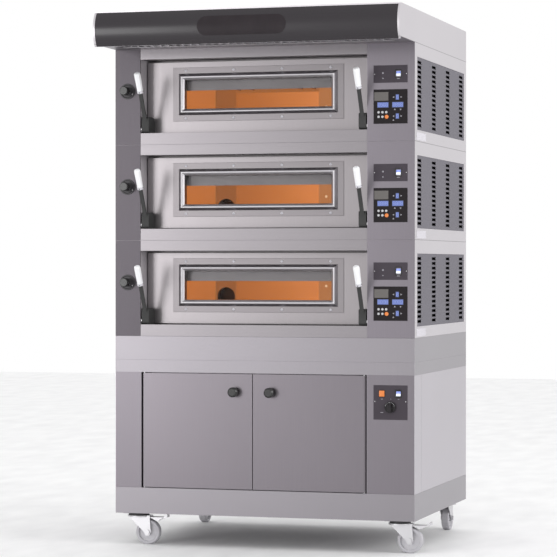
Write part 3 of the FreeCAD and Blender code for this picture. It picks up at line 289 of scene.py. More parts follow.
@dataclass(frozen=True)
class FoldedSteel(BrushedSteel):
    """Front sheet: upright strokes on the columns, level ones on what lies between. Painted shade makes the
    left column darker than the right, a painted reflection makes the strips lighter, and painted light makes
    the returns into the recess lighter.
    """

    left: float = 0.0
    right: float = 0.0
    face: float = 0.0
    left_shaded_colour: Colour = (0.5, 0.5, 0.5)
    strip_sheen_colour: Colour = (0.5, 0.5, 0.5)

    def paint(self, shader: Shader) -> None:
        """Chooses the sheet by where it lies across the front."""
        across = shader.along(0)
        middle = across.between(self.left, self.right)
        jamb = shader.along(1).above(self.face) * (1 - middle)
        upright, column_tone = self.tone(shader, Grain.UPRIGHT)
        level, strip_tone = self.tone(shader, Grain.LEVEL)
        # Painted shade: the left column takes a darker copy of the same steel than the right column.
        column = shader.blend(across.above(0), self.varied(shader, column_tone, self.left_shaded_colour),
                              self.varied(shader, column_tone, self.colour))
        # Painted reflection: the strips between the columns take a lighter copy of the steel.
        strip = self.varied(shader, strip_tone, self.strip_sheen_colour)
        strokes = upright * (1 - middle) + level * middle
        flat = shader.blend(middle, column, strip)
        # Painted light: the returns folded into the recess are lighter and less metallic, so the gap reads
        # less dark.
        lit_return = shader.blend(upright, shade(self.strip_sheen_colour, 1.8), shade(self.strip_sheen_colour, 2.3))
        shader.surface({"Base Color": shader.blend(jamb, flat, lit_return), "Metallic": 1 - jamb * 0.65,
                        "Roughness": self.gloss(strokes) + jamb * 0.15,
                        "Normal": shader.bump(strokes, STROKE_RELIEF, STROKE_DEPTH)})


@dataclass(frozen=True)
class SeamedSteel(BrushedSteel):
    """Side sheets with a dark joint line at each level where two housings meet."""

    levels: tuple[float, ...] = ()
    half_width: float = 0.0012

    def paint(self, shader: Shader) -> None:
        """Darkens a thin line at each level."""
        height = shader.along(2)
        strokes, tone = self.tone(shader, self.grain)
        joint = height.bands([(level - self.half_width, level + self.half_width) for level in self.levels])
        colour = self.varied(shader, tone, self.colour)
        self.brushed(shader, strokes, shader.blend(joint * 0.55, colour, (0.08, 0.07, 0.08)))


@dataclass(frozen=True)
class StandSteel(BrushedSteel):
    """Stand sheets: darker columns between a lighter top strip and base rail, and pale side covers."""

    rail: float = 0.0
    strip: float = 0.0
    side: float = 0.0
    column: Colour = (0.5, 0.5, 0.5)
    cover: Colour = (0.5, 0.5, 0.5)

    def paint(self, shader: Shader) -> None:
        """Chooses the tone by height, and by distance from the middle for the covers."""
        height, across = shader.along(2), shader.along(0)
        strokes, tone = self.tone(shader, self.grain)
        column = height.between(self.rail, self.strip)
        outside = 1 - across.between(-self.side, self.side)
        base = shader.blend(column, self.colour, self.column)
        covered = shader.blend(column, shade(self.cover, 0.68), self.cover)
        base = shader.blend(outside, base, covered)
        self.brushed(shader, strokes, self.worn(shader, tone, base))


@dataclass(frozen=True)
class MouldedSteel(BrushedSteel):
    """Pressed window frame: satin sheet, with the raised moulding painted brighter as a highlight."""

    face: float = 0.0
    sheet_colour: Colour = (0.5, 0.5, 0.5)

    def paint(self, shader: Shader) -> None:
        """Paints a highlight on whatever stands proud of the sheet by brightening it, and smooths it."""
        raised = 1 - shader.along(1).above(self.face)
        strokes, tone = self.tone(shader, self.grain)
        # Painted highlight: the raised moulding takes a brighter copy of the sheet's steel.
        base = shader.blend(raised, self.sheet_colour, self.colour)
        shader.surface({"Base Color": self.worn(shader, tone, base), "Metallic": 1.0,
                        "Roughness": strokes * 0.14 + self.roughness - raised * 0.06,
                        "Normal": shader.bump(strokes, STROKE_RELIEF, STROKE_DEPTH)})


@dataclass(frozen=True)
class LitChamber(Finish):
    """Chamber liner: plain steel on its front flange; inside, a brown base with the lamplight of its lamps
    painted on as an orange emission.
    """

    flange: float = 0.0
    back: float = 0.0
    side: float = 0.0
    panel_left: float = 0.0
    panel_right: float = 0.0
    start: float = 0.0
    pitch: float = 1.0
    panel_top: float = 0.0
    shade_reach: float = 0.09

    def paint(self, shader: Shader) -> None:
        """Painted lamplight, as emission, by zone: side wall, the dimmer damper zone, the bright rear panel
        and the duller corner by the lamp.
        """
        across, deep = shader.along(0), shader.along(1)
        inside = deep.above(self.flange)
        # One noise for stains on the steel and for patches in the painted glow.
        stain_and_glow = shader.noise((9.0, 9.0, 14.0), 4.0)
        # Painted lamplight on the rear panel, brighter towards the right.
        stops = [(0.0, (0.44, 0.150, 0.038)), (0.25, (0.52, 0.175, 0.046)), (0.62, (0.66, 0.225, 0.060)),
                 (1.0, (0.82, 0.280, 0.084))]
        share = (across - self.panel_left) * (1 / (self.panel_right - self.panel_left))
        ramp = shader.node("ShaderNodeValToRGB", {"stops": stops}, {0: share})
        # Painted light: a dimmer glow left of the panel, a duller one right of it by the lamp, and a darker
        # band above it.
        damper_zone = 1 - across.above(self.panel_left)
        corner = across.above(self.panel_right)
        header = (shader.along(2) - self.start).modulo(self.pitch).above(self.panel_top)
        rear = shader.blend(header, ramp, (0.33, 0.135, 0.042))
        rear = shader.blend(damper_zone, rear, (0.27, 0.110, 0.036))
        rear = shader.blend(corner, rear, (0.47, 0.205, 0.078))
        # Painted lamplight on the walls, with painted shade on the near side wall just behind the flange.
        on_back = deep.above(self.back)
        walls = shader.blend(stain_and_glow, (0.50, 0.155, 0.036), (0.64, 0.215, 0.056))
        near_side = 1 - across.above(self.side)
        shaded = near_side * deep.between(self.flange, self.flange + self.shade_reach)
        walls = shader.blend(shaded, walls, (0.26, 0.10, 0.03))
        glow = shader.blend(on_back, walls, rear)
        # Darker patches in the painted glow.
        glow = shader.blend(stain_and_glow * 0.35, glow, (0.40, 0.13, 0.03))
        steel = shader.blend(stain_and_glow, shade(self.colour, 0.8), shade(self.colour, 1.15))
        # The emission paints the lamplight inside; the front flange stays plain steel.
        shader.surface({"Base Color": shader.blend(inside, steel, (0.16, 0.07, 0.03)), "Metallic": 0.6,
                        "Roughness": stain_and_glow * 0.2 + self.roughness,
                        "Emission Color": shader.blend(inside, (0, 0, 0), glow), "Emission Strength": 0.95})


@dataclass(frozen=True)
class Plastic(Finish):
    """Moulded plastic with a faint skin texture."""

    texture: float = 0.06
    coat: float = 0.0
    transmission: float = 0.0
    gloss: float = 0.35

    def paint(self, shader: Shader) -> None:
        """Small tone and gloss changes over a fine grain."""
        skin = shader.even_noise(900.0, 2.0)
        wear = shader.even_noise(22.0, 3.0)
        colour = shader.blend(wear, shade(self.colour, 0.82), shade(self.colour, 1.2))
        shader.surface({"Base Color": colour, "Roughness": wear * 0.12 + (self.roughness - 0.06),
                        "Coat Weight": self.coat, "Coat Roughness": 0.08, "Specular IOR Level": self.gloss,
                        "Transmission Weight": self.transmission,
                        "Normal": shader.bump(skin, self.texture, 0.0002)})


@dataclass(frozen=True)
class Paint(Finish):
    """Sprayed paint with slight orange peel."""

    def paint(self, shader: Shader) -> None:
        """Peel in the relief, dust in the tone."""
        peel = shader.even_noise(320.0, 1.0)
        dust = shader.noise((7.0, 3.0, 9.0), 4.0)
        colour = shader.blend(dust, shade(self.colour, 0.88), shade(self.colour, 1.12))
        shader.surface({"Base Color": colour, "Roughness": dust * 0.15 + self.roughness,
                        "Normal": shader.bump(peel, 0.08, 0.0003)})


@dataclass(frozen=True)
class Glow(Finish):
    """A lit lens, brighter towards blotches where its lamp sits."""

    strength: float = 1.0

    def paint(self, shader: Shader) -> None:
        """Emission with an uneven tone."""
        patch = shader.even_noise(150.0, 2.0)
        light = shader.blend(patch, shade(self.colour, 0.72), shade(self.colour, 1.25))
        shader.surface({"Base Color": shade(self.colour, 0.4), "Roughness": patch * 0.1 + self.roughness,
                        "Emission Color": light, "Emission Strength": self.strength})


@dataclass(frozen=True)
class TwoToneRocker(Finish):
    """Lit rocker: its lower half white, its upper half blue."""

    splits: tuple[float, ...] = ()
    reach: float = 0.02

    def paint(self, shader: Shader) -> None:
        """Each rocker changes colour at its own pivot height."""
        upper = shader.along(2).bands([(split, split + self.reach) for split in self.splits])
        patch = shader.even_noise(160.0, 2.0)
        body = shader.blend(upper, self.colour, (0.10, 0.16, 0.62))
        light = shader.blend(patch * 0.4, body, (0.75, 0.80, 0.95))
        shader.surface({"Base Color": light, "Roughness": patch * 0.1 + self.roughness,
                        "Emission Color": light, "Emission Strength": 0.45})


@dataclass(frozen=True)
class Glass(Finish):
    """Clear tempered pane with a trace of haze."""

    def paint(self, shader: Shader) -> None:
        """Mostly see-through, with a smeared gloss."""
        smear = shader.noise((5.0, 5.0, 11.0), 4.0)
        shader.surface({"Base Color": shader.blend(smear, shade(self.colour, 0.8), self.colour),
                        "Roughness": smear * 0.08 + self.roughness, "Alpha": smear * 0.03 + 0.035,
                        "Specular IOR Level": 0.3})


@dataclass(frozen=True)
class PanelFoil(Finish):
    """Control plates: near-black foil on the display plates, dark grey on the others."""

    start: float = 0.0
    pitch: float = 1.0
    low: float = 0.0
    high: float = 0.0

    def paint(self, shader: Shader) -> None:
        """Chooses the tone by height within a deck, above the lowest deck's underside."""
        height = shader.along(2)
        rise = (height - self.start).modulo(self.pitch)
        black = rise.between(self.low, self.high) * height.above(self.start)
        grain = shader.even_noise(500.0, 2.0)
        tone = shader.blend(black, self.colour, (0.015, 0.012, 0.0135))
        tone = shader.blend(grain * 0.10, tone, (0.06, 0.055, 0.06))
        shader.surface({"Base Color": tone, "Roughness": grain * 0.2 + self.roughness,
                        "Specular IOR Level": 0.12, "Normal": shader.bump(grain, 0.06, 0.0002)})


@dataclass(frozen=True)
class Speckle(Finish):
    """Mineral surfaces: stone, wool, cast or plated metal, by grain size and relief, with an optional glow
    that paints the chamber's lamplight on them.
    """

    grain: float = 200.0
    relief: float = 0.3
    spread: float = 0.2
    metallic: float = 0.0
    glow: Colour = (0.0, 0.0, 0.0)

    def paint(self, shader: Shader) -> None:
        """Two noises at different scales, for colour, relief and the painted glow."""
        fine = shader.even_noise(self.grain, 5.0)
        broad = shader.even_noise(self.grain / 12, 3.0)
        mixed = fine * 0.6 + broad * 0.4
        colour = shader.blend(mixed, shade(self.colour, 1 - self.spread), shade(self.colour, 1 + self.spread))
        # Painted lamplight: the glow colour is given out as emission.
        light = shader.blend(mixed, shade(self.glow, 0.7), shade(self.glow, 1.3))
        shader.surface({"Base Color": colour, "Metallic": self.metallic,
                        "Roughness": broad * 0.2 + (self.roughness - 0.1), "Emission Color": light,
                        "Emission Strength": 1.0, "Normal": shader.bump(fine, self.relief, 0.0004)})


@dataclass(frozen=True)
class WheelTyre(Finish):
    """Castor wheel: a soft grey tread round a paler hard centre."""

    centre: Point = (0.0, 0.0, 0.0)
    across: Point = (1.0, 0.0, 1.0)
    rim: float = 0.038

    def paint(self, shader: Shader) -> None:
        """Chooses the tone by distance from the axle."""
        away = shader.vector("SUBTRACT", shader.place(), self.centre)
        radius = shader.vector("LENGTH", shader.vector("MULTIPLY", away, self.across), output="Value")
        scuff = shader.even_noise(60.0, 4.0)
        body = shader.blend(radius.above(self.rim), (0.62, 0.61, 0.64), self.colour)
        colour = shader.blend(scuff * 0.5, body, shade(self.colour, 0.6))
        shader.surface({"Base Color": colour, "Roughness": scuff * 0.2 + self.roughness,
                        "Normal": shader.bump(scuff, 0.1, 0.0004)})


# ---------------------------------------------------------------- frame look-up
BODY_OF = {node: body for body, nodes in frame["record"]["behaviour"]["bodies"].items() for node in nodes}
LEFT, FRONT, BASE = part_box("riser")[0]
RIGHT, BACK, DECK_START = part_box("riser")[1]
DOOR_LOW, DOOR_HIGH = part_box("deck1_door")
DOOR_GAP = 0.005
OPENING_LEFT = DOOR_LOW[0] - DOOR_GAP
OPENING_RIGHT = DOOR_HIGH[0] + DOOR_GAP
PANEL_MARGIN = 0.029
PANEL_WIDTH = 0.136
PANEL_RIGHT = RIGHT - PANEL_MARGIN
PANEL_LEFT = PANEL_RIGHT - PANEL_WIDTH
PANEL_MIDDLE = PANEL_RIGHT - PANEL_WIDTH / 2
PLATE_FACE = FRONT - SHEET
RAIL_TOP = 0.235
STRIP_BOTTOM = 0.700
REAR_PANEL_LEFT = -0.368
REAR_PANEL_RIGHT = 0.004
REAR_PANEL_BOTTOM = 0.137
REAR_PANEL_TOP = 0.262
REAR_PANEL_DEPTH = 0.010


def deck_floor(deck: int) -> float:
    """Height of a deck's underside."""
    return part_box(f"deck{deck}_casing")[0][2]


DECK_PITCH = deck_floor(1) - deck_floor(2)
COLUMN_GREY = (0.200, 0.183, 0.205)
# Painted shade: darker steel for the left column of each deck's front.
LEFT_SHADED_GREY = (0.075, 0.068, 0.076)
# Painted reflection: lighter steel for the strips between the columns.
STRIP_SHEEN_GREY = (0.235, 0.220, 0.232)
SIDE_GREY = (0.60, 0.575, 0.60)

CASE_STEEL = SeamedSteel("side_steel", SIDE_GREY, 0.42, Grain.DEEP, 0.08,
                         levels=tuple(deck_floor(deck) for deck in DECKS) + (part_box("deck1_casing")[1][2],))
FRONT_STEEL = FoldedSteel("front_steel", COLUMN_GREY, 0.36, left=OPENING_LEFT, right=OPENING_RIGHT,
                          face=FRONT + 0.003, left_shaded_colour=LEFT_SHADED_GREY, strip_sheen_colour=STRIP_SHEEN_GREY)
DOOR_STEEL = BrushedSteel("door_steel", (0.265, 0.247, 0.256), 0.34, Grain.UPRIGHT, 0.12)
LEAF_STEEL = BrushedSteel("leaf_steel", (0.182, 0.166, 0.183), 0.34, Grain.UPRIGHT, 0.14)
# Painted highlight: the moulding's colour is brighter than the sheet's.
MOULD_STEEL = MouldedSteel("moulding_steel", (0.50, 0.485, 0.505), 0.32, Grain.LEVEL, 0.10,
                           face=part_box("deck1_window_frame")[1][1] - SHEET - 0.0008,
                           sheet_colour=(0.222, 0.206, 0.214))
PIN_STEEL = BrushedSteel("bright_steel", (0.62, 0.61, 0.62), 0.22, Grain.LEVEL, 0.08)
# Painted lamplight: the sheath glows with the chamber's orange.
ELEMENT_STEEL = Speckle("element_sheath", (0.20, 0.13, 0.09), 0.45, 300.0, 0.1, 0.3, 0.8, (0.10, 0.03, 0.005))
# Painted lamplight: the chamber liner glows as emission.
CHAMBER = LitChamber("lit_chamber", (0.235, 0.220, 0.225), 0.35,
                     flange=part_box("deck1_chamber")[0][1] + SHEET,
                     back=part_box("deck1_chamber")[1][1] - SHEET - REAR_PANEL_DEPTH - 0.002,
                     side=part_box("deck1_chamber")[0][0] + 0.006, panel_left=REAR_PANEL_LEFT - 0.002,
                     panel_right=REAR_PANEL_RIGHT, panel_top=REAR_PANEL_TOP, start=deck_floor(3),
                     pitch=DECK_PITCH)
BASE_STEEL = StandSteel("base_steel", (0.262, 0.247, 0.266), 0.38, Grain.UPRIGHT, 0.12, rail=RAIL_TOP,
                        strip=STRIP_BOTTOM, side=RIGHT - 0.001, column=(0.190, 0.174, 0.193),
                        cover=(0.52, 0.495, 0.53))
GLASS = Glass("clear_glass", (0.06, 0.06, 0.065), 0.02)
HUB_BLACK = Plastic("hub_black", (0.014, 0.011, 0.012), 0.42, 0.10, gloss=0.10)
KNOB_BLACK = Plastic("knob_black", (0.008, 0.0065, 0.0075), 0.14, 0.02, 0.0, gloss=0.35)
COLLAR_GREY = Plastic("collar_grey", (0.040, 0.037, 0.041), 0.30, 0.05, 0.0, gloss=0.25)
DIAL_BLACK = Plastic("dial_black", (0.020, 0.018, 0.020), 0.32, 0.06, 0.0, gloss=0.2)
VISOR_BLACK = Plastic("visor_black", (0.0040, 0.0028, 0.0032), 0.22, 0.0, 0.0, gloss=0.04)
BADGE_GREY = Plastic("badge_grey", (0.030, 0.025, 0.028), 0.32, 0.04, 0.0, gloss=0.08)
GRIP_CLEAR = Plastic("grip_clear", (0.24, 0.23, 0.25), 0.26, 0.04, 0.05, 0.15, 0.25)
FERRULE_WHITE = Plastic("ferrule_white", (0.60, 0.59, 0.63), 0.30, 0.03, 0.05)
GLAND_BLACK = Plastic("gland_black", (0.03, 0.03, 0.032), 0.45, 0.15)
LOUVRE_PAINT = Paint("louvre_paint", (0.112, 0.105, 0.126), 0.5)
PLATE_BLACK = Paint("castor_plate_black", (0.03, 0.029, 0.031), 0.5)
RATING_PLATE = Paint("rating_plate", (0.54, 0.52, 0.56), 0.4)
# Painted lamplight: the stone glows with the chamber's orange.
STONE = Speckle("baking_stone", (0.42, 0.30, 0.20), 0.85, 420.0, 0.4, 0.25, 0.0, (0.20, 0.075, 0.02))
WOOL = Speckle("mineral_wool", (0.45, 0.40, 0.27), 0.95, 600.0, 0.9, 0.35)
ZINC = Speckle("castor_zinc", (0.72, 0.70, 0.73), 0.40, 160.0, 0.05, 0.14, 0.85)
FOIL = PanelFoil("panel_foil", (0.060, 0.051, 0.062), 0.45, start=deck_floor(3), pitch=DECK_PITCH, low=0.05,
                 high=0.215)
NAMEPLATE = BrushedSteel("nameplate_grey", (0.13, 0.122, 0.118), 0.45, Grain.LEVEL, 0.12)
KEY_WHITE = Plastic("key_white", (0.50, 0.50, 0.52), 0.4, 0.05)
MARK_GREY = Plastic("mark_grey", (0.32, 0.31, 0.34), 0.5, 0.05)
DISPLAY_BLUE = Glow("display_blue", (0.105, 0.150, 0.420), 0.3, 0.72)
SEGMENT_BLUE = Glow("segment_blue", (0.26, 0.33, 0.66), 0.3, 0.8)
KEY_ORANGE = Glow("key_orange", (0.72, 0.205, 0.040), 0.3, 0.72)
LAMP_WHITE = Glow("lamp_white", (0.85, 0.62, 0.40), 0.3, 0.9)
ROCKERS = ("deck1_switch", "deck2_switch", "deck3_switch", "prover_switch")
ROCKER = TwoToneRocker("rocker_lens", (0.80, 0.83, 0.90), 0.25,
                       splits=tuple((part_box(node)[0][2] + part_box(node)[1][2]) / 2 for node in ROCKERS))
FLOOR = Paint("studio_floor", (0.90, 0.90, 0.91), 0.6)


# ---------------------------------------------------------------- modelling steps
class Bench:
    """Modelling steps done by operators on one piece at a time."""

    @staticmethod
    def alone(piece: Piece) -> None:
        """Selects only this piece and makes it active."""
        bpy.ops.object.select_all(action="DESELECT")
        piece.select_set(True)
        bpy.context.view_layer.objects.active = piece

    @classmethod
    def named(cls, name: str) -> Piece:
        """Names the new primitive and applies its place, turn and size."""
        piece = bpy.context.object
        piece.name = name
        piece.data.name = name
        cls.alone(piece)
        bpy.ops.object.transform_apply(location=True, rotation=True, scale=True)
        return piece

    @classmethod
    def block(cls, name: str, low: Point, high: Point) -> Piece:
        """A box to start from, between two corners."""
        bpy.ops.object.select_all(action="DESELECT")
        bpy.ops.mesh.primitive_cube_add(size=1.0, location=[(a + b) / 2 for a, b in zip(low, high)])
        bpy.context.object.scale = [b - a for a, b in zip(low, high)]
        return cls.named(name)

    @classmethod
    def drum(cls, name: str, base: Point, direction: Vector, radius: float, depth: float,
             sides: int = 32) -> Piece:
        """A round bar to start from, from a base along a direction."""
        bpy.ops.object.select_all(action="DESELECT")
        middle = Vector(base) + direction * (depth / 2)
        bpy.ops.mesh.primitive_cylinder_add(vertices=sides, radius=radius, depth=depth, location=middle,
                                            rotation=direction.to_track_quat("Z", "Y").to_euler())
        return cls.named(name)

    @classmethod
    @contextmanager
    def editing(cls, piece: Piece) -> Iterator[None]:
        """Edit mode on one piece."""
        cls.alone(piece)
        bpy.ops.object.mode_set(mode="EDIT")
        try:
            yield
        finally:
            bpy.ops.object.mode_set(mode="OBJECT")

    @staticmethod
    def pick(piece: Piece, test: FaceTest) -> None:
        """Selects the faces whose middle and normal pass a test."""
        bpy.ops.mesh.select_mode(type="FACE")
        bpy.ops.mesh.select_all(action="DESELECT")
        shape = bmesh.from_edit_mesh(piece.data)
        for face in shape.faces:
            face.select_set(test(face.calc_center_median(), face.normal))
        bmesh.update_edit_mesh(piece.data)

    @staticmethod
    def pick_points(piece: Piece, test: Callable[[Vector], bool]) -> None:
        """Selects the vertices whose place passes a test."""
        bpy.ops.mesh.select_mode(type="VERT")
        bpy.ops.mesh.select_all(action="DESELECT")
        shape = bmesh.from_edit_mesh(piece.data)
        for vertex in shape.verts:
            vertex.select_set(test(vertex.co))
        shape.select_flush_mode()
        bmesh.update_edit_mesh(piece.data)

    @classmethod
    def toward(cls, piece: Piece, direction: Vector) -> None:
        """Selects the faces that look along a direction."""
        cls.pick(piece, lambda middle, normal: normal.dot(direction) > 0.99)

    @classmethod
    def modified(cls, piece: Piece, kind: str, **settings: object) -> None:
        """Adds a modifier and applies it."""
        cls.alone(piece)
        modifier = piece.modifiers.new(kind.lower(), kind)
        for key, value in settings.items():
            setattr(modifier, key, value)
        bpy.ops.object.modifier_apply(modifier=modifier.name)

    @classmethod
    def rounded(cls, piece: Piece, width: float, segments: int = 2, angle: float = 35.0) -> Piece:
        """Rounds the sharp edges and shades the piece smoothly."""
        cls.modified(piece, "BEVEL", width=width, segments=segments, limit_method="ANGLE",
                     angle_limit=math.radians(angle))
        cls.smooth(piece)
        cls.modified(piece, "WEIGHTED_NORMAL", mode="FACE_AREA", weight=100, keep_sharp=True)
        return piece

    @classmethod
    def smooth(cls, piece: Piece) -> Piece:
        """Shades smoothly except at sharp edges."""
        cls.alone(piece)
        bpy.ops.object.shade_smooth_by_angle(angle=math.radians(35))
        return piece

    @staticmethod
    def copied(piece: Piece, offset: Point) -> Piece:
        """A copy with its own mesh, moved by an offset."""
        mesh = piece.data.copy()
        mesh.transform(Matrix.Translation(offset))
        twin = bpy.data.objects.new(piece.name + "_copy", mesh)
        bpy.context.collection.objects.link(twin)
        return twin

    @classmethod
    def joined(cls, name: str, pieces: list[Piece]) -> Piece:
        """One piece from several."""
        cls.alone(pieces[0])
        for piece in pieces[1:]:
            piece.select_set(True)
        if len(pieces) > 1:
            bpy.ops.object.join()
        pieces[0].name = name
        pieces[0].data.name = name
        return pieces[0]

    @classmethod
    def pierced(cls, piece: Piece, direction: Vector, margin: float) -> Piece:
        """Opens a hole along a direction, a margin in from the outline of a flat piece."""
        with cls.editing(piece):
            cls.pick(piece, lambda middle, normal: abs(normal.dot(direction)) > 0.99)
            bpy.ops.mesh.inset(thickness=margin)
            bpy.ops.mesh.bridge_edge_loops()
        return piece

    @classmethod
    def lathed(cls, name: str, profile: list[tuple[float, float]], base: Vector, direction: Vector,
               sides: int = 32) -> Piece:
        """Turns a closed body from radii and heights, starting at base along direction."""
        bpy.ops.object.select_all(action="DESELECT")
        radius, height = profile[0]
        bpy.ops.mesh.primitive_circle_add(vertices=sides, radius=radius, fill_type="NGON", location=(0, 0, 0))
        piece = bpy.context.object
        with cls.editing(piece):
            bpy.ops.mesh.select_all(action="SELECT")
            for wide, high in profile[1:]:
                bpy.ops.mesh.extrude_region_move(TRANSFORM_OT_translate={"value": (0, 0, high - height)})
                bpy.ops.transform.resize(value=(wide / radius, wide / radius, 1.0))
                radius, height = wide, high
            bpy.ops.mesh.select_all(action="SELECT")
            bpy.ops.mesh.normals_make_consistent(inside=False)
        piece.location = base
        piece.rotation_euler = direction.to_track_quat("Z", "Y").to_euler()
        return cls.named(name)


def install(piece: Piece, body: str, finish: Finish) -> Piece:
    """Dresses a new piece and fastens it to a body.

    Args:
        piece: The finished mesh.
        body: The body that it moves with.
        finish: What it is made of.

    Returns:
        The piece.
    """
    finish.dress(piece)
    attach(piece, body)
    log.info("%s rides on %s", piece.name, body)
    return piece


def softened(node: str, width: float, finish: Finish, work: Callable[[Piece], None] | None = None,
             segments: int = 2) -> Piece:
    """A copy of a CAD node with its edges rounded, which stands in for it.

    Args:
        node: The node.
        width: Size of the rounding.
        finish: What it is made of.
        work: More steps on the merged copy, before the rounding.
        segments: Faces across the rounding.

    Returns:
        The new piece.
    """
    mesh = frame["nodes"][node].data.copy()
    piece = bpy.data.objects.new(node + "_shape", mesh)
    bpy.context.collection.objects.link(piece)
    with Bench.editing(piece):
        bpy.ops.mesh.select_all(action="SELECT")
        bpy.ops.mesh.remove_doubles(threshold=0.00002)
        bpy.ops.mesh.dissolve_limited(angle_limit=math.radians(1.0))
        if mesh.has_custom_normals:
            bpy.ops.mesh.customdata_custom_splitnormals_clear()
    if work is not None:
        work(piece)
    Bench.rounded(piece, width, segments)
    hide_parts(node)
    return install(piece, BODY_OF[node], finish)


def carried(node: str, finish: Finish) -> None:
    """Dresses a CAD node whose shape stays."""
    finish.dress(frame["nodes"][node])
    log.info("%s keeps its CAD shape", node)


def screw(name: str, centre: Point, direction: Vector, radius: float) -> Piece:
    """Dome screw with a round socket in its head."""
    rise = radius * 0.55
    profile = [(radius, 0.0), (radius * 0.96, rise * 0.45), (radius * 0.78, rise * 0.8),
               (radius * 0.42, rise), (radius * 0.34, rise * 0.5)]
    return Bench.smooth(Bench.lathed(name, profile, Vector(centre), direction, 14))


# ---------------------------------------------------------------- a deck
@dataclass
class DeckPart:
    """A sub-assembly that each deck has one of."""

    deck: int

    def name(self, part: str) -> str:
        """Name of one of the deck's nodes or pieces."""
        return f"deck{self.deck}_{part}"

    def box(self, node: str) -> tuple[Vector, Vector]:
        """Lowest and highest corner of one of the deck's nodes."""
        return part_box(self.name(node))

    @property
    def floor(self) -> float:
        """Height of the deck's underside."""
        return deck_floor(self.deck)


@dataclass
class FrontFrame(DeckPart):
    """Folded front sheets of a deck: two columns and two strips with returns into the recess."""

    lower_strip: float = 0.047
    upper_strip: float = 0.042
    seam: float = 0.0004

    def fold(self, name: str, low: Point, high: Point, axis: int, cut: float, keep_above: bool) -> Piece:
        """A flat sheet whose edge beyond a cut is folded back into the recess.

        Args:
            name: Name of the piece.
            low: Lowest corner of the flat.
            high: Highest corner of the flat.
            axis: 0 to cut across X, 2 to cut across Z.
            cut: Where the fold starts.
            keep_above: Whether the folded edge lies above the cut.

        Returns:
            The folded sheet.
        """
        sheet = Bench.block(name, low, high)
        depth = self.box("chamber")[0][1] - high[1]
        across = RIGHTWARD if axis == 0 else UPWARD
        where = Vector((cut, 0, 0)) if axis == 0 else Vector((0, 0, cut))
        with Bench.editing(sheet):
            bpy.ops.mesh.select_all(action="SELECT")
            bpy.ops.mesh.bisect(plane_co=where, plane_no=across)
            Bench.pick(sheet, lambda middle, normal: normal.y > 0.99 and (middle[axis] > cut) == keep_above)
            bpy.ops.mesh.extrude_region_move(TRANSFORM_OT_translate={"value": (0, depth, 0)})
        return Bench.rounded(sheet, 0.0005)

    def build(self) -> None:
        """Makes the four sheets and joins them as one piece."""
        low, high = self.box("front_frame")
        z0, z1 = low[2] + self.seam, high[2] - self.seam
        sill, head = low[2] + self.lower_strip, high[2] - self.upper_strip
        face, back = FRONT, FRONT + SHEET
        left, right = OPENING_LEFT, OPENING_RIGHT
        sheets = [
            self.fold("column_left", (LEFT, face, z0), (left, back, z1), 0, left - SHEET, True),
            self.fold("column_right", (right, face, z0), (RIGHT, back, z1), 0, right + SHEET, False),
            self.fold("strip_low", (left + self.seam, face, z0), (right - self.seam, back, sill), 2,
                      sill - SHEET, True),
            self.fold("strip_high", (left + self.seam, face, head), (right - self.seam, back, z1), 2,
                      head + SHEET, False)]
        frame_sheets = Bench.joined(self.name("front_sheets"), sheets)
        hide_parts(self.name("front_frame"))
        install(frame_sheets, "frame", FRONT_STEEL)


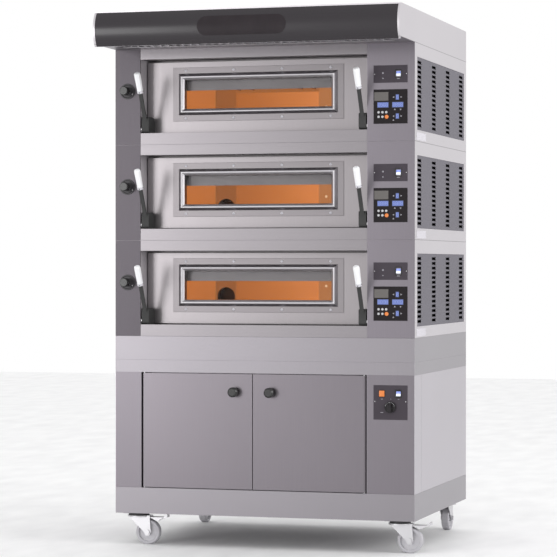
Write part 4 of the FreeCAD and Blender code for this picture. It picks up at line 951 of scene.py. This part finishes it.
@dataclass
class OvenDoor(DeckPart):
    """Glazed drop-down door with its pressed window frame, screws, levers and grips."""

    moulding_height: float = 0.012
    moulding_outer: float = 0.010
    moulding_crest: float = 0.007
    moulding_inner: float = 0.008
    sheet_lap: float = 0.050
    screw_radius: float = 0.0055
    screw_columns: tuple[float, ...] = (-0.345, -0.143, 0.059, 0.261)
    screw_inset: float = 0.012
    lean: float = 28.0
    arm_length: float = 0.127
    hub_half_width: float = 0.015
    pivot_depth: float = 0.0145
    pivot_rise: float = 0.063

    def window_frame(self) -> Piece:
        """Flat sheet with a rounded moulding pressed up round the sight hole."""
        node = self.name("window_frame")
        low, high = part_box(node)
        face = high[1] - SHEET
        piece = Bench.block(self.name("window_pressing"), (low[0], face, low[2]), high)
        crest = self.moulding_crest / 2
        foot = self.sheet_lap - self.moulding_outer - self.moulding_crest - self.moulding_inner
        with Bench.editing(piece):
            Bench.toward(piece, FRONTWARD)
            bpy.ops.mesh.inset(thickness=foot)
            bpy.ops.mesh.inset(thickness=self.moulding_outer, depth=self.moulding_height * 0.9)
            bpy.ops.mesh.inset(thickness=crest, depth=self.moulding_height * 0.1)
            bpy.ops.mesh.inset(thickness=crest, depth=-self.moulding_height * 0.1)
            bpy.ops.mesh.inset(thickness=self.moulding_inner, depth=-self.moulding_height * 0.6)
            Bench.toward(piece, -FRONTWARD)
            bpy.ops.mesh.inset(thickness=self.sheet_lap)
            hole = (Vector(low) + Vector(high)) / 2
            Bench.pick(piece, lambda middle, normal: abs(normal.y) > 0.99
                       and abs(middle.x - hole.x) < 0.02 and abs(middle.z - hole.z) < 0.02)
            bpy.ops.mesh.bridge_edge_loops()
        Bench.rounded(piece, 0.0028, 3, 12.0)
        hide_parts(node)
        return install(piece, self.body, MOULD_STEEL)

    @property
    def body(self) -> str:
        """Body that the whole door moves with."""
        return self.name("oven_door")

    def screws(self) -> Piece:
        """Two rows of dome screws on the frame's sheet."""
        low, high = self.box("window_frame")
        face = high[1] - SHEET
        first = screw("frame_screw", (0, face, 0), FRONTWARD, self.screw_radius)
        heads = []
        for x in self.screw_columns:
            for z in (low[2] + self.screw_inset, high[2] - self.screw_inset):
                heads.append(Bench.copied(first, (x, 0, z)))
        bpy.data.objects.remove(first)
        piece = Bench.joined(self.name("frame_screws"), heads)
        return install(piece, self.body, FERRULE_WHITE)

    def grips(self) -> None:
        """Clear cool-touch grips with a ribbed end and a white ferrule on each arm."""
        lean = math.radians(self.lean)
        direction = Vector((0, -math.sin(lean), math.cos(lean)))
        levers = self.box("levers")
        middles = (levers[0][0] + self.hub_half_width, levers[1][0] - self.hub_half_width)
        pivot = Vector((0, FRONT + self.pivot_depth, self.floor + self.pivot_rise))
        root = pivot + Vector((0, -0.0105, 0.030)) + direction * self.arm_length
        sleeves, ferrules, dots = [], [], []
        for x in middles:
            base = root + Vector((x, 0, 0))
            profile = [(0.0118, 0.0), (0.0125, 0.001), (0.0125, 0.0105), (0.0112, 0.012)]
            ferrules.append(Bench.lathed("ferrule", profile, base, direction, 28))
            profile = [(0.0108, 0.012), (0.0120, 0.0135), (0.0128, 0.045), (0.0139, 0.084), (0.0139, 0.090)]
            profile += [(0.0128, 0.0955), (0.0098, 0.0985), (0.0045, 0.0998)]
            sleeves.append(Bench.lathed("sleeve", profile, base, direction, 8))
            dots.append(screw("grip_pin", base + direction * 0.006 + RIGHTWARD * 0.0123, RIGHTWARD, 0.0022))
            dots.append(screw("grip_pin", base + direction * 0.006 + Vector((0, -0.0103, -0.0067)),
                              Vector((0, -math.cos(lean), -math.sin(lean))), 0.0022))
        sleeve = Bench.joined(self.name("grip_sleeves"), sleeves)
        Bench.rounded(sleeve, 0.002, 3, 20.0)
        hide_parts(self.name("grips"))
        install(sleeve, self.body, GRIP_CLEAR)
        ferrule = Bench.joined(self.name("grip_ferrules"), ferrules)
        install(Bench.rounded(ferrule, 0.0005), self.body, FERRULE_WHITE)
        pins = Bench.joined(self.name("grip_pins"), dots)
        install(pins, self.body, HUB_BLACK)

    def build(self) -> None:
        """Door panel, pane, frame, screws, levers and grips."""
        softened(self.name("door"), 0.0012, DOOR_STEEL)
        carried(self.name("glass"), GLASS)
        self.window_frame()
        self.screws()
        softened(self.name("levers"), 0.0014, HUB_BLACK, segments=3)
        self.grips()


@dataclass
class VentPull(DeckPart):
    """Vent knob with the escutcheon that it draws out of."""

    plate_radius: float = 0.0315
    plate_depth: float = 0.004
    hole_radius: float = 0.007
    inset: float = 0.052
    rise: float = 0.216

    def build(self) -> None:
        """Knob, stepped escutcheon and its two screws."""
        softened(self.name("vent_knob"), 0.0012, KNOB_BLACK, segments=3)
        centre = (LEFT + self.inset, FRONT, self.floor + self.rise)
        plate = Bench.drum(self.name("escutcheon"), centre, FRONTWARD, self.plate_radius, self.plate_depth,
                           48)
        with Bench.editing(plate):
            Bench.toward(plate, FRONTWARD)
            bpy.ops.mesh.inset(thickness=0.005)
            bpy.ops.mesh.inset(thickness=0.002, depth=-0.0015)
            bpy.ops.mesh.inset(thickness=0.010)
            bpy.ops.mesh.inset(thickness=0.001, depth=0.0012)
            inner = self.plate_radius - 0.018 - self.hole_radius
            bpy.ops.mesh.inset(thickness=inner)
            Bench.toward(plate, -FRONTWARD)
            bpy.ops.mesh.inset(thickness=self.plate_radius - self.hole_radius)
            Bench.pick(plate, lambda middle, normal: abs(normal.y) > 0.99
                       and (middle - Vector((centre[0], middle.y, centre[2]))).length < 0.001)
            bpy.ops.mesh.bridge_edge_loops()
        install(Bench.rounded(plate, 0.0006), "frame", COLLAR_GREY)
        heads = []
        for side in (-1, 1):
            spot = (centre[0] + side * 0.0215, FRONT - self.plate_depth + 0.0016, centre[2] - side * 0.012)
            heads.append(screw("escutcheon_screw", spot, FRONTWARD, 0.0028))
        install(Bench.joined(self.name("escutcheon_screws"), heads), "frame", PIN_STEEL)


@dataclass
class SwitchPlate(DeckPart):
    """Pieces on a deck's upper control plate: rocker bezel, marker lamps, dashes and end screws."""

    rise: float = 0.262
    switch_offset: float = 0.032
    lamp_offset: float = -0.030

    def build(self) -> None:
        """Makes each fitting in turn."""
        z = self.floor + self.rise
        bezel(self.name("switch_bezel"), PANEL_MIDDLE + self.switch_offset, z)
        lamps = []
        for rise, radius in ((0.004, 0.0038), (-0.017, 0.0026)):
            spot = (PANEL_MIDDLE + self.lamp_offset, PLATE_FACE, z + rise)
            lamps.append(screw("marker_lamp", spot, FRONTWARD, radius))
        install(Bench.joined(self.name("marker_lamps"), lamps), "frame", MARK_GREY)
        x = PANEL_MIDDLE + self.switch_offset
        dash = Bench.block(self.name("switch_dash"), (x - 0.006, PLATE_FACE - 0.0004, z - 0.020),
                           (x + 0.006, PLATE_FACE, z - 0.0175))
        install(Bench.rounded(dash, 0.0002), "frame", MARK_GREY)
        heads = [screw("plate_screw", (x, PLATE_FACE, z), FRONTWARD, 0.0022)
                 for x in (PANEL_LEFT + 0.004, PANEL_RIGHT - 0.004)]
        install(Bench.joined(self.name("plate_screws"), heads), "frame", PIN_STEEL)


def bezel(name: str, x: float, z: float) -> None:
    """Oval collar round a rocker switch."""
    low = (x - 0.0135, PLATE_FACE - 0.0028, z - 0.0165)
    ring = Bench.block(name, low, (x + 0.0135, PLATE_FACE, z + 0.0165))
    Bench.pierced(ring, FRONTWARD, 0.0036)
    install(Bench.rounded(ring, 0.0012, 3), "frame", KNOB_BLACK)


@dataclass
class DisplayPlate(DeckPart):
    """Printed keys and lit displays on a deck's lower control plate."""

    rise: float = 0.068
    digit_height: float = 0.013
    digit_width: float = 0.0072
    stroke: float = 0.0012

    def at(self, x: float, z: float, proud: float = 0.0) -> Point:
        """A place on the plate, from its lower left corner."""
        return (PANEL_LEFT + x, PLATE_FACE - proud, self.floor + self.rise + z)

    def window(self, name: str, x: float, z: float, width: float, height: float) -> tuple[Piece, Piece]:
        """A lit display in a thin bezel, centred on a place."""
        low, high = self.at(x - width / 2, z - height / 2, 0.0006), self.at(x + width / 2, z + height / 2)
        lens = Bench.rounded(Bench.block(name, low, high), 0.0003)
        edge = 0.0016
        low = self.at(x - width / 2 - edge, z - height / 2 - edge, 0.0010)
        rim = Bench.block(name + "_rim", low, self.at(x + width / 2 + edge, z + height / 2 + edge))
        Bench.pierced(rim, FRONTWARD, edge)
        return lens, Bench.rounded(rim, 0.0003)

    def digit(self, x: float, z: float) -> list[Piece]:
        """The seven bars of one digit, centred on a place."""
        half_w, half_h, thick = self.digit_width / 2, self.digit_height / 2, self.stroke
        bars = []
        for row in (-1, 0, 1):
            middle = z + row * half_h
            bars.append(Bench.block("bar", self.at(x - half_w + thick, middle - thick / 2, 0.0009),
                                    self.at(x + half_w - thick, middle + thick / 2, 0.0004)))
        for side in (-1, 1):
            for row in (0, 1):
                middle, bottom = x + side * half_w, z - half_h + row * half_h + thick * 0.6
                bars.append(Bench.block("bar", self.at(middle - thick / 2, bottom, 0.0009),
                                        self.at(middle + thick / 2, bottom + half_h - thick * 1.2, 0.0004)))
        return bars

    def arrow(self, x: float, z: float, turn: int) -> Piece:
        """A small three-cornered key. A turn is 0 up, 1 left, 2 down or 3 right."""
        key = Bench.drum("arrow", self.at(x, z), FRONTWARD, 0.0042, 0.0007, 3)
        with Bench.editing(key):
            bpy.ops.mesh.select_all(action="SELECT")
            bpy.ops.transform.rotate(value=math.radians(90 * turn), orient_axis="Y",
                                     center_override=self.at(x, z))
            Bench.toward(key, FRONTWARD)
            bpy.ops.mesh.inset(thickness=0.0008, depth=0.0003)
        return key

    def displays(self) -> None:
        """Two wide displays and two single ones, with their digits."""
        lenses, rims, bars = [], [], []
        for x, z, wide, count in ((0.038, 0.0735, 0.044, 4), (0.0975, 0.0735, 0.044, 4),
                                  (0.096, 0.103, 0.012, 1), (0.096, 0.029, 0.012, 1)):
            lens, rim = self.window("display", x, z, wide, 0.020)
            lenses.append(lens)
            rims.append(rim)
            for index in range(count):
                bars += self.digit(x + (index - (count - 1) / 2) * 0.0102, z)
        install(Bench.joined(self.name("displays"), lenses), "frame", DISPLAY_BLUE)
        install(Bench.joined(self.name("display_rims"), rims), "frame", HUB_BLACK)
        install(Bench.joined(self.name("display_digits"), bars), "frame", SEGMENT_BLUE)

    def keys(self) -> None:
        """Round keys, the lit start key and the arrows round the displays."""
        profile = [(0.0048, 0.0), (0.0048, 0.0008), (0.0040, 0.0014), (0.0024, 0.0010)]
        buttons = []
        for x, z in ((0.0205, 0.0448), (0.036, 0.0448), (0.0512, 0.0448), (0.0205, 0.0272), (0.036, 0.0272)):
            buttons.append(Bench.lathed("key", profile, Vector(self.at(x, z)), FRONTWARD, 20))
        install(Bench.smooth(Bench.joined(self.name("round_keys"), buttons)), "frame", KEY_WHITE)
        profile = [(0.0076, 0.0), (0.0076, 0.0010), (0.0062, 0.0019), (0.0030, 0.0014)]
        start = Bench.lathed(self.name("start_key"), profile, Vector(self.at(0.0530, 0.0270)), FRONTWARD, 28)
        install(Bench.smooth(start), "frame", KEY_ORANGE)
        places = ((0.081, 0.103, 1), (0.111, 0.103, 3), (0.081, 0.029, 1), (0.111, 0.029, 3),
                  (0.0858, 0.0550, 0), (0.1087, 0.0550, 2), (0.0800, 0.0135, 0))
        arrows = [self.arrow(x, z, turn) for x, z, turn in places]
        install(Bench.joined(self.name("arrow_keys"), arrows), "frame", MARK_GREY)

    def nameplate(self) -> None:
        """Plain grey plate with a raised edge, left blank."""
        plate = Bench.block(self.name("nameplate"), self.at(0.003, 0.0895, 0.0009), self.at(0.060, 0.1235))
        with Bench.editing(plate):
            Bench.toward(plate, FRONTWARD)
            bpy.ops.mesh.inset(thickness=0.0012)
            bpy.ops.mesh.inset(thickness=0.0006, depth=-0.0004)
        install(Bench.rounded(plate, 0.0002), "frame", NAMEPLATE)

    def build(self) -> None:
        """Everything on the plate."""
        self.displays()
        self.keys()
        self.nameplate()


@dataclass
class LouvreCover(DeckPart):
    """Lips pressed out at the rear end of each slot of a side cover, and a blank rating plate."""

    columns: int = 4
    rows: int = 14
    slot_width: float = 0.080
    slot_height: float = 0.011
    edge: float = 0.010
    lap: float = 0.008
    lip_share: float = 0.46
    reach: float = 0.0055

    def lip(self, y: float, z: float, surface: float) -> Piece:
        """One sloping lip, from the slot's rear end outwards and forwards."""
        start = y + self.slot_width * (1 - self.lip_share)
        half = self.slot_height / 2 + 0.0004
        lip = Bench.block("lip", (surface - 0.001, start, z - half),
                          (surface + 0.0002, y + self.slot_width, z + half))
        with Bench.editing(lip):
            Bench.toward(lip, FRONTWARD)
            bpy.ops.transform.translate(value=(self.reach, 0, 0))
            bpy.ops.transform.resize(value=(1, 1, 0.8))
        return lip

    def baffle(self, y0: float, y1: float, low: float, high: float) -> None:
        """Black sheet behind the slots, with its edges turned outwards; its black stands in for the shade
        inside the slots.
        """
        sheet = Bench.block(self.name("louvre_baffle"), (RIGHT - 0.014, y0 + self.lap, low + self.lap),
                            (RIGHT - 0.013, y1 - self.lap, high - self.lap))
        with Bench.editing(sheet):
            Bench.toward(sheet, RIGHTWARD)
            bpy.ops.mesh.inset(thickness=0.001)
            Bench.pick(sheet, lambda middle, normal: normal.x > 0.99
                       and (abs(middle.y - (y0 + y1) / 2) > 0.1 or abs(middle.z - (low + high) / 2) > 0.1))
            bpy.ops.mesh.extrude_region_move(TRANSFORM_OT_translate={"value": (0.006, 0, 0)})
        # Painted shade: the black sheet darkens the view through the slots.
        install(Bench.rounded(sheet, 0.0002), "frame", PLATE_BLACK)

    def build(self) -> None:
        """One lip, copied over the grid of slots."""
        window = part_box("louvre_panels")
        surface = window[1][0]
        y0, y1 = window[0][1] + self.lap, window[1][1] - self.lap
        floor = self.floor
        low, high = floor + 0.045, floor + DECK_PITCH - 0.054
        column_pitch = (y1 - y0 - 2 * self.edge - self.slot_width) / (self.columns - 1)
        row_pitch = (high - low - 2 * self.edge) / self.rows
        first_y, first_z = y0 + self.edge, low + self.edge + row_pitch / 2
        pattern = self.lip(first_y, first_z, surface)
        lips = [pattern]
        for index in range(1, self.columns * self.rows):
            column, row = divmod(index, self.rows)
            lips.append(Bench.copied(pattern, (0, column * column_pitch, row * row_pitch)))
        install(Bench.joined(self.name("louvre_lips"), lips), "frame", LOUVRE_PAINT)
        self.baffle(y0, y1, low, high)
        plate = Bench.block(self.name("rating_plate"), (RIGHT, FRONT + 0.030, floor + 0.006),
                            (RIGHT + 0.0006, FRONT + 0.190, floor + 0.036))
        with Bench.editing(plate):
            Bench.toward(plate, RIGHTWARD)
            bpy.ops.mesh.inset(thickness=0.002, depth=0.0001)
        install(Bench.rounded(plate, 0.0002), "frame", RATING_PLATE)


@dataclass
class ChamberFittings(DeckPart):
    """What shows through the glass: the lamp, the rear cover panel and its fold."""

    lamp_x: float = 0.036
    lamp_rise: float = 0.196
    gap: float = 0.0005

    def build(self) -> None:
        """Lamp lens in its ring, and the folded panel in front of the rear wall."""
        rear = self.box("chamber")[1][1] - SHEET
        panel = Bench.block(self.name("rear_panel"),
                            (REAR_PANEL_LEFT, rear - REAR_PANEL_DEPTH, self.floor + REAR_PANEL_BOTTOM),
                            (REAR_PANEL_RIGHT, rear - self.gap, self.floor + REAR_PANEL_TOP))
        with Bench.editing(panel):
            Bench.toward(panel, FRONTWARD)
            bpy.ops.mesh.inset(thickness=0.004)
            bpy.ops.mesh.inset(thickness=0.002, depth=-0.0015)
        install(Bench.rounded(panel, 0.0012), "frame", CHAMBER)
        spot = Vector((self.lamp_x, rear - self.gap, self.floor + self.lamp_rise))
        profile = [(0.011, 0.0), (0.011, 0.003), (0.008, 0.004), (0.0065, 0.002)]
        ring = Bench.lathed(self.name("lamp_ring"), profile, spot, FRONTWARD, 24)
        install(Bench.smooth(ring), "frame", CHAMBER)
        profile = [(0.0062, 0.002), (0.0052, 0.005), (0.0030, 0.006)]
        lens = Bench.lathed(self.name("lamp_lens"), profile, spot, FRONTWARD, 20)
        install(Bench.smooth(lens), "frame", LAMP_WHITE)


@dataclass
class Deck(DeckPart):
    """One baking deck with all that is on it."""

    def build(self) -> None:
        """Builds the deck's sub-assemblies in order."""
        carried(self.name("casing"), CASE_STEEL)
        carried(self.name("chamber"), CHAMBER)
        softened(self.name("switch"), 0.0006, ROCKER)
        for part in (FrontFrame, OvenDoor, VentPull, SwitchPlate, DisplayPlate, LouvreCover, ChamberFittings):
            part(self.deck).build()


# ---------------------------------------------------------------- hood
@dataclass
class Hood:
    """Hood shell, curved visor, blank badge and the baffles in its inlet."""

    sheet: float = 0.004
    badge_width: float = 0.360
    badge_height: float = 0.076
    badge_x: float = -0.009
    badge_depth: float = 0.0014
    badge_steps: int = 12
    arc_steps: int = 28
    strip_depth: float = 0.001
    slot_margin: float = 0.060
    baffle_width: float = 0.020
    baffle_count: int = 36

    def visor(self) -> Piece:
        """Spins the front edge of a thin strip about the arc's centre, then gives the skin thickness."""
        low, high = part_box("hood_visor")
        drop = self.badge_depth + 0.0004
        sagitta = high[1] - low[1] - drop
        chord = high[2] - low[2]
        radius = (chord ** 2 / 4 + sagitta ** 2) / (2 * sagitta)
        centre = Vector(((low[0] + high[0]) / 2, high[1] - sagitta + radius, (low[2] + high[2]) / 2))
        sweep = 2 * math.asin(chord / 2 / radius)
        bpy.ops.object.select_all(action="DESELECT")
        bpy.ops.mesh.primitive_plane_add(size=1.0, location=(centre.x, high[1], low[2]))
        piece = bpy.context.object
        piece.scale = (high[0] - low[0], self.strip_depth, 1.0)
        piece = Bench.named("visor_skin")
        with Bench.editing(piece):
            Bench.pick_points(piece, lambda place: place.y > high[1])
            bpy.ops.mesh.delete(type="VERT")
            bpy.ops.mesh.select_all(action="SELECT")
            bpy.ops.transform.translate(value=(0, self.strip_depth / 2, 0))
            bpy.ops.mesh.select_mode(type="EDGE")
            bpy.ops.mesh.select_all(action="SELECT")
            bpy.ops.mesh.spin(steps=self.arc_steps, angle=sweep, center=centre, axis=(1, 0, 0))
            bpy.ops.mesh.select_all(action="SELECT")
            bpy.ops.mesh.normals_make_consistent(inside=False)
        self.face_front(piece)
        Bench.modified(piece, "SOLIDIFY", thickness=self.sheet, offset=-1.0)
        Bench.rounded(piece, 0.0008, 2, 50.0)
        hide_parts("hood_visor")
        return install(piece, "frame", VISOR_BLACK)

    @staticmethod
    def face_front(piece: Piece) -> None:
        """Turns an open skin's faces to the front."""
        total = sum(polygon.normal.y for polygon in piece.data.polygons)
        if total > 0:
            piece.data.flip_normals()

    def badge(self, visor: Piece) -> None:
        """Blank pill-shaped plate that follows the visor's curve."""
        low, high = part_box("hood_visor")
        z = (low[2] + high[2]) / 2 + 0.002
        half = self.badge_height / 2
        reach = self.badge_width / 2 - half
        bpy.ops.object.select_all(action="DESELECT")
        ahead = (self.badge_x, low[1] - 0.03, z)
        bpy.ops.mesh.primitive_circle_add(vertices=48, radius=half, fill_type="NGON", location=ahead,
                                          rotation=(math.pi / 2, 0, 0))
        piece = Bench.named("hood_badge")
        with Bench.editing(piece):
            for side in (-1, 1):
                Bench.pick_points(piece, lambda place: (place.x > self.badge_x + 1e-6) == (side > 0))
                bpy.ops.transform.translate(value=(side * reach, 0, 0))
            for step in range(1, self.badge_steps):
                level = z - half + self.badge_height * step / self.badge_steps
                bpy.ops.mesh.select_all(action="SELECT")
                bpy.ops.mesh.bisect(plane_co=(0, 0, level), plane_no=(0, 0, 1))
        self.face_front(piece)
        Bench.modified(piece, "SHRINKWRAP", target=visor, wrap_method="PROJECT", use_project_y=True,
                       use_project_x=False, use_project_z=False, use_positive_direction=True,
                       use_negative_direction=False, offset=0.0)
        Bench.modified(piece, "SOLIDIFY", thickness=self.badge_depth, offset=1.0)
        Bench.rounded(piece, 0.0005, 2, 50.0)
        install(piece, "frame", BADGE_GREY)

    def baffles(self) -> None:
        """Slanting grease baffles across the inlet slot."""
        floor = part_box("deck1_casing")[1][2]
        front, back = FRONT - 0.180, FRONT - 0.070
        start = LEFT + self.slot_margin
        pitch = (RIGHT - LEFT - 2 * self.slot_margin - self.baffle_width) / (self.baffle_count - 1)
        pattern = Bench.block("baffle", (start, front, floor + 0.002),
                              (start + self.baffle_width, back, floor + 0.0032))
        with Bench.editing(pattern):
            Bench.toward(pattern, RIGHTWARD)
            bpy.ops.transform.translate(value=(0, 0, 0.008))
        slats = [pattern]
        slats += [Bench.copied(pattern, (index * pitch, 0, 0)) for index in range(1, self.baffle_count)]
        install(Bench.joined("hood_baffles", slats), "frame", PIN_STEEL)

    def build(self) -> None:
        """Shell, visor, badge and baffles."""
        carried("hood_shell", CASE_STEEL)
        self.badge(self.visor())
        self.baffles()


# ---------------------------------------------------------------- stand
@dataclass
class Stand:
    """Riser, prover cabinet, its doors and its control plate."""

    groove: float = 0.0014
    depth: float = 0.0010
    cover_setback: float = 0.120
    switch_offset: float = 0.032
    lamp_offset: float = -0.034

    def grooved(self, piece: Piece) -> None:
        """Cuts the seam above the base rail and the outline of each side cover."""
        half = self.groove / 2
        low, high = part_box("stand_cabinet")
        setback = low[1] + self.cover_setback

        def outside(middle: Vector, normal: Vector) -> bool:
            """Whether a face lies on the cabinet's sides, front or back."""
            sideways = abs(normal.x) > 0.99 and min(middle.x - low[0], high[0] - middle.x) < 1e-4
            return sideways or (abs(normal.y) > 0.99 and min(middle.y - low[1], high[1] - middle.y) < 1e-4)

        cuts = [(Vector((0, 0, level + side * half)), UPWARD) for level in (RAIL_TOP, STRIP_BOTTOM)
                for side in (-1, 1)]
        cuts += [(Vector((0, setback + side * half, 0)), FRONTWARD) for side in (-1, 1)]
        with Bench.editing(piece):
            for place, across in cuts:
                bpy.ops.mesh.select_all(action="SELECT")
                bpy.ops.mesh.bisect(plane_co=place, plane_no=across)
            Bench.pick(piece, lambda middle, normal: outside(middle, normal) and (
                min(abs(middle.z - RAIL_TOP), abs(middle.z - STRIP_BOTTOM)) < half
                or (abs(normal.x) > 0.99 and abs(middle.y - setback) < half
                    and RAIL_TOP < middle.z < STRIP_BOTTOM)))
            bpy.ops.mesh.extrude_region_shrink_fatten(TRANSFORM_OT_shrink_fatten={"value": -self.depth})

    def pilot(self) -> None:
        """Lit pilot lamp, bezel, dial mark, dashes and screws of the prover's plate."""
        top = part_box("prover_switch")
        z = (top[0][2] + top[1][2]) / 2
        bezel("prover_switch_bezel", PANEL_MIDDLE + self.switch_offset, z)
        lamp_x = PANEL_MIDDLE + self.lamp_offset
        base = Bench.block("pilot_lamp", (lamp_x - 0.0105, PLATE_FACE - 0.004, z - 0.0115),
                           (lamp_x + 0.0105, PLATE_FACE, z + 0.0115))
        with Bench.editing(base):
            Bench.toward(base, FRONTWARD)
            bpy.ops.mesh.inset(thickness=0.003, depth=0.0012)
        install(Bench.rounded(base, 0.0012, 3), "frame", KEY_ORANGE)
        rim = Bench.block("pilot_rim", (lamp_x - 0.0130, PLATE_FACE - 0.0018, z - 0.0140),
                          (lamp_x + 0.0130, PLATE_FACE, z + 0.0140))
        Bench.pierced(rim, FRONTWARD, 0.0024)
        install(Bench.rounded(rim, 0.0006), "frame", KNOB_BLACK)
        marks = []
        for x, rise, wide in ((lamp_x, -0.0215, 0.008), (PANEL_MIDDLE + 0.033, -0.0215, 0.006),
                              (PANEL_MIDDLE + 0.002, -0.0210, 0.003), (lamp_x, -0.0740, 0.011)):
            marks.append(Bench.block("mark", (x - wide / 2, PLATE_FACE - 0.0004, z + rise - 0.0011),
                                     (x + wide / 2, PLATE_FACE, z + rise + 0.0011)))
        install(Bench.rounded(Bench.joined("prover_marks", marks), 0.0002), "frame", MARK_GREY)
        heads = [screw("prover_screw", (x, PLATE_FACE, z - 0.031), FRONTWARD, 0.0024)
                 for x in (PANEL_LEFT + 0.006, PANEL_RIGHT - 0.006)]
        install(Bench.joined("prover_screws", heads), "frame", PIN_STEEL)

    def dial_mark(self) -> None:
        """Pale arc on the dial's skirt and a pointer line on its grip."""
        low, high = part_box("thermostat_dial")
        x, z = (low[0] + high[0]) / 2, (low[2] + high[2]) / 2
        face = PLATE_FACE - 0.001 - 0.008
        dashes = []
        for step in range(9):
            angle = math.radians(20 + step * 17.5)
            radius = (high[0] - low[0]) / 2 - 0.0035
            spot = (x + radius * math.cos(angle), face, z + radius * math.sin(angle))
            dashes.append(screw("dial_dot", spot, FRONTWARD, 0.0014))
        dashes.append(Bench.block("pointer", (x - 0.0009, low[1], z + 0.004),
                                  (x + 0.0009, low[1] + 0.0006, z + 0.0165)))
        install(Bench.joined("dial_marks", dashes), "thermostat", KEY_WHITE)

    def build(self) -> None:
        """The whole stand."""
        softened("riser", 0.0006, BASE_STEEL)
        softened("stand_cabinet", 0.0006, BASE_STEEL, self.grooved)
        for side in ("left", "right"):
            softened("cabinet_door_" + side, 0.0010, LEAF_STEEL)
            softened("cabinet_knob_" + side, 0.0012, KNOB_BLACK, segments=3)
        softened("prover_switch", 0.0006, ROCKER)
        softened("thermostat_dial", 0.0010, DIAL_BLACK)
        carried("tray_runners", PIN_STEEL)
        self.pilot()
        self.dial_mark()


@dataclass
class Castor:
    """One castor's fork, wheel and, at the front, brake pedal."""

    place: str

    def build(self) -> None:
        """Dresses and rounds the castor's nodes."""
        low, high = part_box("castor_wheel_" + self.place)
        centre = tuple((a + b) / 2 for a, b in zip(low, high))
        across = (1.0, 0.0, 1.0) if self.place.startswith("front") else (0.0, 1.0, 1.0)
        tyre = WheelTyre("tyre_" + self.place, (0.50, 0.49, 0.52), 0.5, centre, across)
        softened("castor_fork_" + self.place, 0.0007, ZINC)
        softened("castor_wheel_" + self.place, 0.0012, tyre)
        if self.place.startswith("front"):
            softened("brake_pedal_" + self.place, 0.0008, ZINC)


@dataclass
class SharedNodes:
    """CAD nodes that serve all decks."""

    def build(self) -> None:
        """Dresses each one."""
        softened("control_panels", 0.0006, FOIL)
        carried("louvre_panels", LOUVRE_PAINT)
        carried("baking_stones", STONE)
        carried("heating_elements", ELEMENT_STEEL)
        carried("hinge_pins", PIN_STEEL)
        carried("insulation", WOOL)
        carried("castor_plates", PLATE_BLACK)
        softened("cable_glands", 0.0008, GLAND_BLACK)
        carried("flue_spigot", CASE_STEEL)


# ---------------------------------------------------------------- studio
@dataclass
class Studio:
    """Camera, soft lights and the pale floor."""

    sensor: float = 36.0
    focal: float = 153.73
    yaw: float = 16.4794
    pitch: float = 0.2925
    camera_place: Point = (2.73877, -9.51206, 1.12570)
    key_watts: float = 150.0
    side_watts: float = 130.0
    floor_reach: float = 14.0

    def camera(self) -> None:
        """Long lens from the front right, nearly level."""
        data = bpy.data.cameras.new("camera")
        data.lens = self.focal
        data.sensor_width = self.sensor
        data.clip_end = 100.0
        eye = bpy.data.objects.new("camera", data)
        eye.location = self.camera_place
        eye.rotation_euler = (math.radians(90 - self.pitch), 0, math.radians(self.yaw))
        bpy.context.collection.objects.link(eye)
        bpy.context.scene.camera = eye

    def light(self, name: str, place: Point, aim: Point, size: tuple[float, float], watts: float) -> None:
        """One soft box aimed at a point."""
        data = bpy.data.lights.new(name, "AREA")
        data.shape = "RECTANGLE"
        data.size, data.size_y = size
        data.energy = watts
        lamp = bpy.data.objects.new(name, data)
        lamp.location = place
        lamp.rotation_euler = (Vector(place) - Vector(aim)).to_track_quat("Z", "Y").to_euler()
        bpy.context.collection.objects.link(lamp)

    def floor(self) -> None:
        """Pale floor under and behind the oven."""
        reach = self.floor_reach
        slab = Bench.block("studio_floor", (-reach, -reach, -0.02), (reach, reach, 0))
        FLOOR.dress(slab)

    def build(self) -> None:
        """Sets the whole studio."""
        scene = bpy.context.scene
        scene.view_settings.view_transform = "Standard"
        world = bpy.data.worlds.new("studio")
        world.use_nodes = True
        sky = world.node_tree.nodes["Background"].inputs
        sky["Color"].default_value = (1.0, 1.0, 1.0, 1.0)
        sky["Strength"].default_value = 1.0
        scene.world = world
        self.camera()
        self.light("key", (-4.3, -8.0, 1.5), (0, 0, 1.2), (2.4, 3.4), self.key_watts)
        self.light("side", (6.0, -1.5, 3.0), (0.6, 0, 1.2), (3.0, 3.0), self.side_watts)
        self.floor()


def main() -> None:
    """Builds every sub-assembly in order."""
    logging.basicConfig(level=logging.INFO, format="%(name)s: %(message)s")
    Studio().build()
    SharedNodes().build()
    for number in DECKS:
        Deck(number).build()
    Hood().build()
    Stand().build()
    for place in ("front_left", "front_right", "rear_left", "rear_right"):
        Castor(place).build()


if __name__ == "__main__":
    main()
